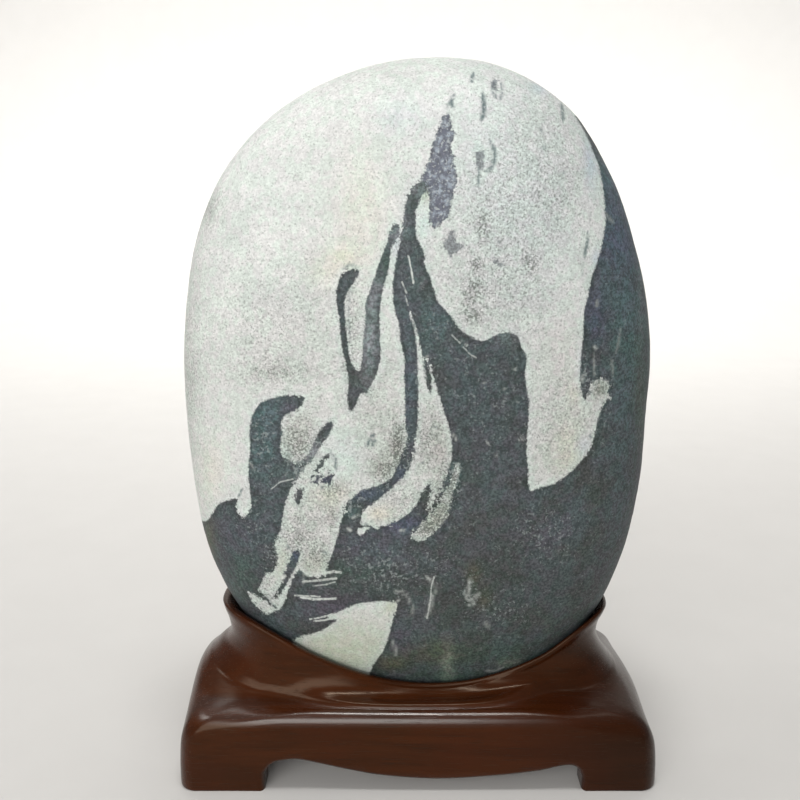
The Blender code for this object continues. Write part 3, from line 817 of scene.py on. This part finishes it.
def paint_stone(mesh, points):
    """Work out every marking at every point of the skin."""
    u, v = in_view(points)
    ink = depth_inside(u, v, DARK_BODY)
    for pale in (PALE_LEAF, PALE_CRESCENT, PALE_TRIANGLE, PALE_SPUR):
        ink = np.minimum(ink, -depth_inside(u, v, pale))
    for dark in (SECOND_STRIPE, BROWN_WEDGE, LEG_LINE, LEAF_MARK, SLANT_MARK, DUSK_MARK):
        ink = np.maximum(ink, depth_inside(u, v, dark))
    back_ink = depth_inside(u, v, BACK_BODY)
    for pale in (BACK_LEAF, BACK_SLIVER):
        back_ink = np.minimum(back_ink, -depth_inside(u, v, pale))
    back_ink = np.maximum(back_ink, depth_inside(u, v, BACK_STRIPE))
    behind = smooth_share(BACK_STARTS, BACK_FULL, points[:, 1])
    ahead = 1 - behind
    store(mesh, "ink", (ink * ahead + back_ink * behind) * PIXEL / MM)
    violet = depth_inside(u, v, VIOLET_PATCH)
    store(mesh, "violet", (violet * ahead - MARK_REACH * behind) * PIXEL / MM)
    blots = [depth_inside(u, v, blot) for blot in (RIGHT_BLOT, SMALL_BLOT, TOP_BLOT, LOOP_BLOT)]
    store(mesh, "blot", (np.max(blots, axis=0) * ahead - MARK_REACH * behind) * PIXEL / MM)
    store(mesh, "view_place", np.column_stack([u, v, OUT_OF_VIEW * behind]))
    store(mesh, "dark_line", line_cover(u, v, DARK_LINES) * ahead)
    store(mesh, "pale_line", line_cover(u, v, PALE_LINES) * ahead)
    store(mesh, "soft_edge", grain_field(u, v, SOFT_EDGES) * ahead + BACK_SOFTNESS * behind)
    for name, tints in (("pale_tint_and_shade", PALE_TINTS_AND_SHADE), ("dark_tint_and_shade", DARK_TINTS_AND_SHADE)):
        tint = tint_field(u, v, tints)
        tint[:, 3] *= ahead
        store(mesh, name, tint)
    for name, places in (("dark_grains", DARK_GRAINS), ("pale_grains", PALE_GRAINS)):
        store(mesh, name, grain_field(u, v, places) * ahead + BACK_GRAINS * behind)


class Nodes:
    """Short ways to add shader nodes to one material."""

    def __init__(self, name):
        self.material = bpy.data.materials.new(name)
        self.material.use_nodes = True
        self.tree = self.material.node_tree
        self.shader = self.tree.nodes["Principled BSDF"]
        self.place = self.make("TexCoord").outputs["Object"]

    def make(self, kind, inputs=None, **settings):
        """A node with its settings and inputs."""
        item = self.tree.nodes.new("ShaderNode" + kind)
        for name, value in settings.items():
            setattr(item, name, value)
        for key, value in (inputs or {}).items():
            self.feed(item.inputs[key], value)
        return item

    def feed(self, socket, value):
        """A link where the value is another node's output, and a plain value otherwise."""
        if isinstance(value, bpy.types.NodeSocket):
            self.tree.links.new(value, socket)
        else:
            socket.default_value = value

    def maths(self, operation, *values, clamp=False):
        """The result of one arithmetic step."""
        inputs = dict(enumerate(values))
        return self.make("Math", inputs, operation=operation, use_clamp=clamp).outputs[0]

    def times_plus(self, value, factor, added):
        """A value times a factor, plus what is added."""
        return self.maths("MULTIPLY_ADD", value, factor, added)

    def jittered(self, value, noise, amount):
        """A value moved to and fro by a noise that runs from 0 to 1."""
        return self.times_plus(self.maths("SUBTRACT", noise, 0.5), amount, value)

    def step(self, value, low, high, start=0.0, end=1.0):
        """A smooth change from start to end as the value goes from low to high."""
        inputs = {0: value, 1: low, 2: high, 3: start, 4: end}
        return self.make("MapRange", inputs, interpolation_type="SMOOTHSTEP").outputs[0]

    def mix(self, share, first, second, blend="MIX"):
        """Two colours mixed."""
        inputs = {0: share, 6: self.paint(first), 7: self.paint(second)}
        return self.make("Mix", inputs, data_type="RGBA", blend_type=blend).outputs[2]

    def over(self, ground, colour, noise, low, high, start=0.0, end=1.0):
        """A ground with a colour laid over it, more or less of it as the noise goes from low to high."""
        return self.mix(self.step(noise, low, high, start, end), ground, colour)

    def scaled(self, vector, level):
        """A vector or a colour made longer or shorter."""
        return self.make("VectorMath", {0: vector, "Scale": level}, operation="SCALE").outputs[0]

    def shaded(self, colour, noise, low, high, start, end):
        """A colour made darker or lighter as the noise goes from low to high."""
        return self.scaled(colour, self.step(noise, low, high, start, end))

    def paint(self, colour):
        """A colour with its fourth channel, where it is given as three numbers."""
        return (*colour, 1.0) if isinstance(colour, tuple) and len(colour) == 3 else colour

    def noise(self, per_metre, detail, roughness=0.5, place=None):
        """Cloudy noise from 0 to 1, with that many patches to the metre."""
        inputs = {"Scale": per_metre, "Detail": detail, "Roughness": roughness}
        return self.make("TexNoise", {"Vector": place or self.place, **inputs}).outputs["Fac"]

    def stretched(self, across):
        """The place with its first direction scaled."""
        inputs = {"Vector": self.place, "Scale": (across, 1.0, 1.0)}
        return self.make("Mapping", inputs).outputs["Vector"]

    def field(self, name, output="Fac"):
        """A value kept at the mesh's points."""
        return self.make("Attribute", attribute_name=name).outputs[output]

    def vector_maths(self, operation, first, second, output=0):
        """The result of one step of vector arithmetic."""
        return self.make("VectorMath", {0: first, 1: second}, operation=operation).outputs[output]

    def line_gap(self, place, points):
        """How far a place is from a line of points, in pixels."""
        gap = None
        for start, end in zip(points, points[1:]):
            stretch = Vector((end[0] - start[0], end[1] - start[1], 0.0))
            from_start = self.vector_maths("SUBTRACT", place, (*start, 0.0))
            run = self.vector_maths("DOT_PRODUCT", from_start, stretch / stretch.length_squared, "Value")
            foot = self.scaled(stretch, self.maths("MULTIPLY", run, 1.0, clamp=True))
            away = self.vector_maths("DISTANCE", from_start, foot, "Value")
            gap = away if gap is None else self.maths("MINIMUM", gap, away)
        return gap

    def finish(self, colour, roughness, specular, height, strength):
        """Feed the shader, and give the material."""
        inputs = {"Height": height, "Strength": strength, "Distance": BUMP_DEPTH}
        bump = self.make("Bump", inputs).outputs["Normal"]
        names = ("Base Color", "Roughness", "Specular IOR Level", "Normal")
        for name, value in zip(names, (colour, roughness, specular, bump)):
            self.feed(self.shader.inputs[name], value)
        return self.material


class StoneSkin(Nodes):
    """Matt water-worn stone: a pale ground and a dark one, with tints, grains and drawn lines."""

    def __init__(self):
        super().__init__("stone_skin")
        self.grit = self.noise(2100.0, 1.0)
        self.dots = self.noise(1500.0, 1.0)
        self.grain = self.noise(1150.0, 2.0, 0.6)
        self.speck = self.noise(820.0, 3.0, 0.65)
        self.mottle = self.noise(330.0, 3.0, 0.6)
        self.tone = self.noise(240.0, 2.0, 0.6)
        self.cloud = self.noise(95.0, 3.0, 0.55)
        self.drift = self.noise(26.0, 2.0)
        wander = self.times_plus(self.field("soft_edge"), 9.0, 1.1)
        edge = self.jittered(self.field("ink"), self.speck, wander)
        edge = self.jittered(edge, self.grit, 1.0)
        self.edge = self.jittered(edge, self.mottle, 0.7)

    def tinted_and_shaded(self, ground, name):
        """A ground under the tints and painted shade kept at the mesh's points."""
        patches = self.step(self.mottle, 0.25, 0.6, 0.6, 1.0)
        share = self.maths("MULTIPLY", self.field(name, "Alpha"), patches)
        return self.mix(share, ground, self.field(name, "Color"))

    def hued(self, ground, first, second):
        """A ground that leans to one hue or to another from patch to patch."""
        return self.mix(1.0, ground, self.mix(self.step(self.tone, 0.42, 0.58), first, second), "MULTIPLY")

    def specked(self, ground, colour, noise, crowded, bars, width, amounts):
        """A ground with specks where a noise is over a bar; bar and amount differ where they crowd."""
        bar = self.times_plus(crowded, bars[1] - bars[0], bars[0])
        amount = self.times_plus(crowded, amounts[1] - amounts[0], amounts[0])
        peak = self.step(self.maths("SUBTRACT", noise, bar), 0.0, width)
        return self.mix(self.maths("MULTIPLY", peak, amount), ground, colour)

    def lined(self, ground, colour, name, high, faintest):
        """A ground under drawn lines kept at the mesh's points, which the specks break up."""
        whole = self.step(self.speck, 0.34, high, faintest, 1.0)
        return self.mix(self.maths("MULTIPLY", self.field(name), whole), ground, colour)

    def pale_ground(self):
        """The pale ground, greener towards the dark one."""
        pale = self.over(PALE_STONE, PALE_CLOUD, self.cloud, 0.35, 0.65)
        pale = self.over(pale, PALE_DRIFT, self.drift, 0.4, 0.7, 0.0, 0.5)
        pale = self.tinted_and_shaded(pale, "pale_tint_and_shade")
        pale = self.over(pale, PALE_RIM, self.edge, -2.6, -0.4, 0.0, 0.34)
        pale = self.shaded(pale, self.mottle, 0.30, 0.70, 1.04, 0.94)
        crowded = self.field("dark_grains")
        pale = self.shaded(pale, self.grain, 0.36, 0.62, 1.04, self.times_plus(crowded, -0.46, 0.88))
        pale = self.shaded(pale, self.grit, 0.38, 0.62, 1.03, self.times_plus(crowded, -0.30, 0.95))
        pale = self.hued(pale, (1.025, 0.990, 1.010), (0.975, 1.010, 0.985))
        pale = self.specked(pale, PALE_SPECK, self.dots, crowded, (0.62, 0.48), 0.05, (0.38, 0.88))
        return self.lined(pale, DARK_STROKE, "dark_line", 0.54, 0.35)

    def dark_ground(self):
        """The dark ground, darker along its edge, with crisp scratches."""
        dark = self.over(DARK_STONE, DARK_CLOUD, self.cloud, 0.38, 0.62)
        dark = self.over(dark, DARK_DRIFT, self.drift, 0.45, 0.65, 0.0, 0.6)
        dark = self.tinted_and_shaded(dark, "dark_tint_and_shade")
        dark = self.shaded(dark, self.edge, 0.2, 2.4, 0.80, 1.0)
        dark = self.shaded(dark, self.mottle, 0.28, 0.72, 0.84, 1.18)
        dark = self.shaded(dark, self.grain, 0.36, 0.64, 0.66, 1.36)
        dark = self.hued(dark, (1.07, 0.972, 1.02), (0.94, 1.022, 0.985))
        crowded = self.field("pale_grains")
        dark = self.specked(dark, DARK_SPECK, self.speck, crowded, (0.62, 0.49), 0.06, (0.26, 0.62))
        dark = self.lined(dark, PALE_STROKE, "pale_line", 0.56, 0.30)
        view_place = self.field("view_place", "Vector")
        chips = self.step(self.speck, 0.36, 0.50, 0.25, 1.0)
        for points, width, strength in SCRATCHES:
            gap = self.jittered(self.line_gap(view_place, points), self.grain, 2.4)
            mark = self.step(gap, width * 0.3, width * 0.9, strength, 0.0)
            dark = self.mix(self.maths("MULTIPLY", mark, chips), dark, SCRATCH)
        return dark

    def marked(self, pale):
        """The pale ground with its violet patch and its small blots."""
        edge = self.jittered(self.field("violet"), self.speck, 4.0)
        violet = self.over(VIOLET_DEEP, VIOLET_LIGHT, self.mottle, 0.40, 0.60)
        violet = self.over(violet, VIOLET_SPECK, self.speck, 0.46, 0.60, 0.0, 0.8)
        violet = self.over(violet, VIOLET_GRAIN, self.grain, 0.56, 0.64, 0.0, 0.6)
        violet = self.shaded(violet, edge, 0.2, 1.6, 0.62, 1.0)
        pale = self.over(pale, violet, edge, -0.3, 0.4, 0.0, 0.94)
        edge = self.jittered(self.field("blot"), self.speck, 5.0)
        blot = self.over(BLOT_DEEP, BLOT_LIGHT, self.grain, 0.42, 0.60)
        return self.over(pale, blot, edge, -0.6, 0.6, 0.0, 0.85)


def stone_material():
    """The two grounds of the stone, joined along their ragged edge."""
    skin = StoneSkin()
    colour = skin.over(skin.marked(skin.pale_ground()), skin.dark_ground(), skin.edge, -0.34, 0.34)
    rough = skin.times_plus(skin.mottle, 0.16, 0.50)
    height = skin.times_plus(skin.grit, 0.6, skin.times_plus(skin.mottle, 2.0, skin.grain))
    return skin.finish(colour, rough, 0.3, height, 0.30)


def footprint():
    """Plan points of the stand's footprint, anticlockwise, denser round the four corners."""
    straight_x = STAND_HALF_WIDTH - STAND_CORNER_RADIUS
    straight_y = STAND_HALF_DEPTH - STAND_CORNER_RADIUS
    quarter = [(STAND_HALF_WIDTH, straight_y * k / SIDE_STEPS) for k in range(SIDE_STEPS)]
    for k in range(CORNER_STEPS):
        turn = math.pi / 2 * k / CORNER_STEPS
        quarter.append((
            straight_x + STAND_CORNER_RADIUS * math.cos(turn),
            straight_y + STAND_CORNER_RADIUS * math.sin(turn),
        ))
    quarter += [(straight_x * (1 - k / FRONT_STEPS), STAND_HALF_DEPTH) for k in range(FRONT_STEPS)]
    second = [(-x, y) for x, y in [(0.0, STAND_HALF_DEPTH)] + quarter[:0:-1]]
    half = quarter + second
    return np.array(half + [(-x, -y) for x, y in half])


def seat_radius(ways, height_at, clearance):
    """Plan distances along directions to the stone's skin, grown by the clearance."""
    near = np.zeros(len(ways))
    far = np.full(len(ways), SEARCH_REACH)
    front = ways[:, 1] < 0
    for _ in range(SEARCH_STEPS):
        middle = (near + far) / 2
        across = middle * ways[:, 0]
        depth = stone_half_depth(across, height_at(across), front, clearance)
        within = np.abs(middle * ways[:, 1]) < depth
        near = np.where(within, middle, near)
        far = np.where(within, far, middle)
    return near


def wall_rows():
    """The wall's rows with smooth rows put between them."""
    table = [[*outs, *heights, share, reach] for outs, heights, share, reach in WALL_ROWS]
    return rounded(table, False, ROW_STEPS)


def eased(loops):
    """The wall's loops with the folds between the moulding's lines smoothed out."""
    grid = np.array(loops)
    level = np.linspace(0.0, 1.0, len(grid))[:, None, None]
    share = smooth_share(EASING_STARTS, EASING_FULL, level)
    share = share * (1 - smooth_share(EASING_FADES, 1.0, level))
    for _ in range(EASING_PASSES):
        around = (np.roll(grid, 1, axis=1) + np.roll(grid, -1, axis=1)) / 2
        grid = grid + share * EASING_STRENGTH * (around - grid)
    return list(grid)


def stand_loops():
    """Closed loops of the stand, from the foot's edge up the wall, over the lip, down the seat."""
    plan = footprint()
    seat_floor = STONE_CENTRE_HEIGHT - float(outline_radius(math.pi)) - SEAT_GAP
    turn = np.arctan2(plan[:, 1] / STAND_HALF_DEPTH, plan[:, 0] / STAND_HALF_WIDTH)
    ways = np.column_stack([STAND_HALF_WIDTH * np.cos(turn), STAND_HALF_DEPTH * np.sin(turn)])
    ways /= np.hypot(ways[:, 0], ways[:, 1])[:, None]
    lip_loops = []
    for k in range(LIP_STEPS + 1):
        share = k / LIP_STEPS
        drop = LIP_ROUNDING * (1 - (1 - abs(2 * share - 1) ** LIP_SQUARENESS) ** 0.5)
        clearance = LIP_GAP + (LIP_THICKNESS - LIP_SWING * ways[:, 0]) * (1 - share)
        radius = seat_radius(ways, lip_height, clearance)
        x = radius * ways[:, 0]
        lip_loops.append(np.column_stack([x, radius * ways[:, 1], lip_height(x) - drop]))
    lip = lip_loops[0]
    side = np.arctan2(np.abs(plan[:, 1]) / STAND_HALF_DEPTH, np.abs(plan[:, 0]) / STAND_HALF_WIDTH)
    facing = np.cos(2 * side)
    end = np.maximum(facing, 0.0) ** END_SHARPNESS
    right = np.where(plan[:, 0] > 0, end, 0.0)
    wall_loops = []
    for row in wall_rows():
        middle = smooth_share(MIDDLE_STARTS, row[9], -facing)
        weights = np.column_stack([middle, 1 - middle - end, end - right, right])
        out = weights @ row[0:4]
        height = weights @ row[4:8] * MM + row[8] * (lip_height(lip[:, 0]) - LIP_LOW)
        flat = lip[:, 0:2] + out[:, None] * (plan - lip[:, 0:2])
        wall_loops.append(np.column_stack([flat, height]))
    wall_loops = eased(wall_loops)
    seat_loops = []
    inner = lip_loops[-1]
    for k in range(1, SEAT_STEPS + 1):
        level = 1 - (1 - SEAT_LOWEST) * k / SEAT_STEPS
        clearance = SEAT_GAP + (LIP_GAP - SEAT_GAP) * level
        height = seat_floor + (inner[:, 2] - seat_floor) * level
        radius = seat_radius(ways, lambda across, height=height: height, clearance)
        seat_loops.append(np.column_stack([radius[:, None] * ways, height]))
    return wall_loops + lip_loops + seat_loops, (0.0, 0.0, seat_floor)


def loft(name, loops, last_pole=None):
    """A closed mesh through loops of equal count; the end is a pole point or one flat face."""
    count = len(loops[0])
    points = [tuple(point) for loop in loops for point in loop]
    faces = [tuple(range(count))]
    for level in range(len(loops) - 1):
        base = level * count
        for k in range(count):
            n = (k + 1) % count
            faces.append((base + k, base + n, base + count + n, base + count + k))
    last = (len(loops) - 1) * count
    if last_pole is None:
        faces.append(tuple(range(last, last + count)))
    else:
        points.append(last_pole)
        faces += [(last + k, last + (k + 1) % count, len(points) - 1) for k in range(count)]
    return new_mesh_object(name, points, faces)


def arch_section(line, flare):
    """The outline of an arch cutter, grown by the flare that rounds the arch's outer edge."""
    places = np.linspace(line[0][0], line[-1][0], APRON_STATIONS + 1)
    heights = smooth_line(line, places)
    slope = np.gradient(heights, places)
    length = np.hypot(1.0, slope)
    across = places * MM - flare * slope / length
    rise = heights * MM + flare / length
    start = line[0][0] * MM - flare
    end = line[-1][0] * MM + flare
    across = np.clip(across, start, end)
    return [(start, -CUT_BELOW)] + list(zip(across, rise)) + [(end, -CUT_BELOW)]


def arch_cutter(name, line, half_reach, place):
    """A cutter right through the stand, which flares out just inside each outer face."""
    stops = []
    inside = half_reach - EDGE_STARTS_INSIDE
    for k in range(EDGE_STEPS + 1):
        run = EDGE_ROUNDING * math.sin(math.pi / 2 * k / EDGE_STEPS)
        flare = EDGE_ROUNDING - math.sqrt(max(EDGE_ROUNDING**2 - run**2, 0.0))
        stops.append((inside + run, flare))
    stops.append((half_reach + CUT_BEYOND, EDGE_ROUNDING))
    stops = [(-run, flare) for run, flare in stops[::-1]] + stops
    loops = [[place(a, b, run) for a, b in arch_section(line, flare)] for run, flare in stops]
    return loft(name, loops)


def stand_object():
    """One carved piece: lip and socket for the stone, moulded shoulders, apron and four feet."""
    loops, seat_middle = stand_loops()
    stand = loft("carved_stand", loops, seat_middle)
    inset = np.array([1 - RECESS_INSET / STAND_HALF_WIDTH, 1 - RECESS_INSET / STAND_HALF_DEPTH])
    plan = footprint() * inset
    recess = [[(x, y, height) for x, y in plan] for height in (-CUT_BELOW, RECESS_HEIGHT)]
    tools = [
        loft("recess", recess),
        arch_cutter("end_arch", END_APRON_LINE, STAND_HALF_WIDTH, lambda a, b, run: (run, a, b)),
        arch_cutter("front_arch", APRON_LINE, STAND_HALF_DEPTH, lambda a, b, run: (a, run, b)),
    ]
    for tool in tools:
        cut = stand.modifiers.new(tool.name, "BOOLEAN")
        cut.operation = "DIFFERENCE"
        cut.solver = "EXACT"
        cut.object = tool
    shaped = stand.evaluated_get(bpy.context.evaluated_depsgraph_get())
    mesh = bpy.data.meshes.new_from_object(shaped)
    stand.modifiers.clear()
    stand.data = mesh
    mesh.shade_smooth()
    mesh.set_sharp_from_angle(angle=SHARP_EDGE)
    for tool in tools:
        bpy.data.objects.remove(tool, do_unlink=True)
    return stand


def wood_material():
    """Dark red-brown hardwood with a rubbed satin finish, its grain running along the stand."""
    nodes = Nodes("stand_wood")
    wander = nodes.noise(14.0, 2.0, 0.5, nodes.stretched(0.35))
    shift = nodes.make("CombineXYZ", {2: nodes.maths("MULTIPLY", wander, 0.016)}).outputs[0]
    along = nodes.vector_maths("ADD", nodes.stretched(0.07), shift)
    figure = nodes.noise(150.0, 4.0, 0.6, along)
    streak = nodes.noise(640.0, 4.0, 0.6, along)
    pores = nodes.noise(2300.0, 2.0, 0.6, nodes.stretched(0.035))
    patch = nodes.noise(26.0, 2.0)

    wood = nodes.over(WOOD_DEEP, WOOD_LIGHT, figure, 0.36, 0.64)
    wood = nodes.over(wood, WOOD_STREAK, streak, 0.52, 0.74, 0.0, 0.45)
    wood = nodes.over(wood, WOOD_GLOW, streak, 0.28, 0.44, 0.3, 0.0)
    wood = nodes.over(wood, WOOD_PATCH, patch, 0.44, 0.68, 0.0, 0.40)
    wood = nodes.over(wood, WOOD_PORE, pores, 0.60, 0.70, 0.0, 0.45)
    across, _, up = nodes.make("SeparateXYZ", {0: nodes.place}).outputs
    # Painted shade: the wood darkens towards its right end.
    wood = nodes.shaded(wood, across, *RIGHT_PAINTED_SHADE, 1.0, 0.46)
    open_pore = nodes.step(pores, 0.6, 0.7)
    rough = nodes.times_plus(open_pore, 0.12, nodes.times_plus(figure, 0.10, 0.18))
    crest = nodes.maths("MULTIPLY", nodes.step(up, *CREST_LOW), nodes.step(up, *CREST_HIGH, 1.0, 0.0))
    crest = nodes.maths("MULTIPLY", crest, nodes.step(across, *CREST_FADES, 1.0, 0.15))
    nodes.feed(nodes.shader.inputs["Specular Tint"], nodes.mix(crest, WOOD_SHEEN, CREST_SHEEN))
    height = nodes.times_plus(streak, 0.7, nodes.maths("MULTIPLY", open_pore, -1.0))
    return nodes.finish(wood, rough, 0.65, height, 0.25)


def floor_object():
    """A plain pale floor that sweeps up behind."""
    profile = [(FLOOR_FRONT, 0.0), (FLOOR_BACK, 0.0)]
    for k in range(1, FLOOR_STEPS + 1):
        turn = math.pi / 2 * k / FLOOR_STEPS
        profile.append((FLOOR_BACK + FLOOR_BEND * math.sin(turn), FLOOR_BEND - FLOOR_BEND * math.cos(turn)))
    profile.append((FLOOR_BACK + FLOOR_BEND, FLOOR_REACH))
    points = [(x, y, z) for y, z in profile for x in (-FLOOR_REACH, FLOOR_REACH)]
    faces = [(2 * k, 2 * k + 1, 2 * k + 3, 2 * k + 2) for k in range(len(profile) - 1)]
    floor = new_mesh_object("studio_floor", points, faces)
    nodes = Nodes("floor_paint")
    nodes.feed(nodes.shader.inputs["Base Color"], nodes.mix(nodes.noise(30.0, 2.0), FLOOR_DEEP, FLOOR_LIGHT))
    nodes.shader.inputs["Roughness"].default_value = 0.85
    floor.data.materials.append(nodes.material)


def area_light(name, place, aim, size, power, spread):
    """A soft light aimed at a point, with its spread in degrees."""
    lamp = bpy.data.lights.new(name, "AREA")
    lamp.shape = "RECTANGLE"
    lamp.size, lamp.size_y = size
    lamp.energy = power
    lamp.spread = math.radians(spread)
    body = bpy.data.objects.new(name, lamp)
    body.location = place
    body.rotation_euler = (Vector(aim) - Vector(place)).to_track_quat("-Z", "Y").to_euler()
    bpy.context.scene.collection.objects.link(body)


def light_room():
    """The lights, and a near-white room that is a little lighter overhead."""
    for light in LIGHTS:
        area_light(*light)
    world = bpy.data.worlds.new("room")
    world.use_nodes = True
    nodes = world.node_tree.nodes
    links = world.node_tree.links
    way = nodes.new("ShaderNodeTexCoord")
    parts = nodes.new("ShaderNodeSeparateXYZ")
    sky = nodes.new("ShaderNodeMapRange")
    for name, value in ROOM_SHADES.items():
        sky.inputs[name].default_value = value
    nodes["Background"].inputs["Color"].default_value = (1.0, 1.0, 1.0, 1.0)
    links.new(way.outputs["Generated"], parts.inputs[0])
    links.new(parts.outputs["Z"], sky.inputs["Value"])
    links.new(sky.outputs[0], nodes["Background"].inputs["Strength"])
    bpy.context.scene.world = world
    bpy.context.scene.view_settings.view_transform = "Standard"


def place_camera():
    """The camera of the photograph."""
    lens = bpy.data.cameras.new("camera")
    lens.lens = CAMERA_LENS
    lens.sensor_width = CAMERA_SENSOR
    lens.clip_start = CAMERA_NEAREST
    camera = bpy.data.objects.new("camera", lens)
    camera.location = CAMERA_PLACE
    camera.rotation_euler = (math.pi / 2 - CAMERA_TILT, 0.0, 0.0)
    bpy.context.scene.collection.objects.link(camera)
    bpy.context.scene.camera = camera


def main():
    """Build the two pieces round the frame, then the floor, the light and the camera."""
    stone, smooth_points = stone_mesh()
    paint_stone(stone.data, smooth_points)
    stone.data.materials.append(stone_material())
    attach(stone, "root")
    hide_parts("stone")
    stand = stand_object()
    stand.data.materials.clear()
    stand.data.materials.append(wood_material())
    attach(stand, "root")
    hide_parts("stand")
    floor_object()
    light_room()
    place_camera()


main()
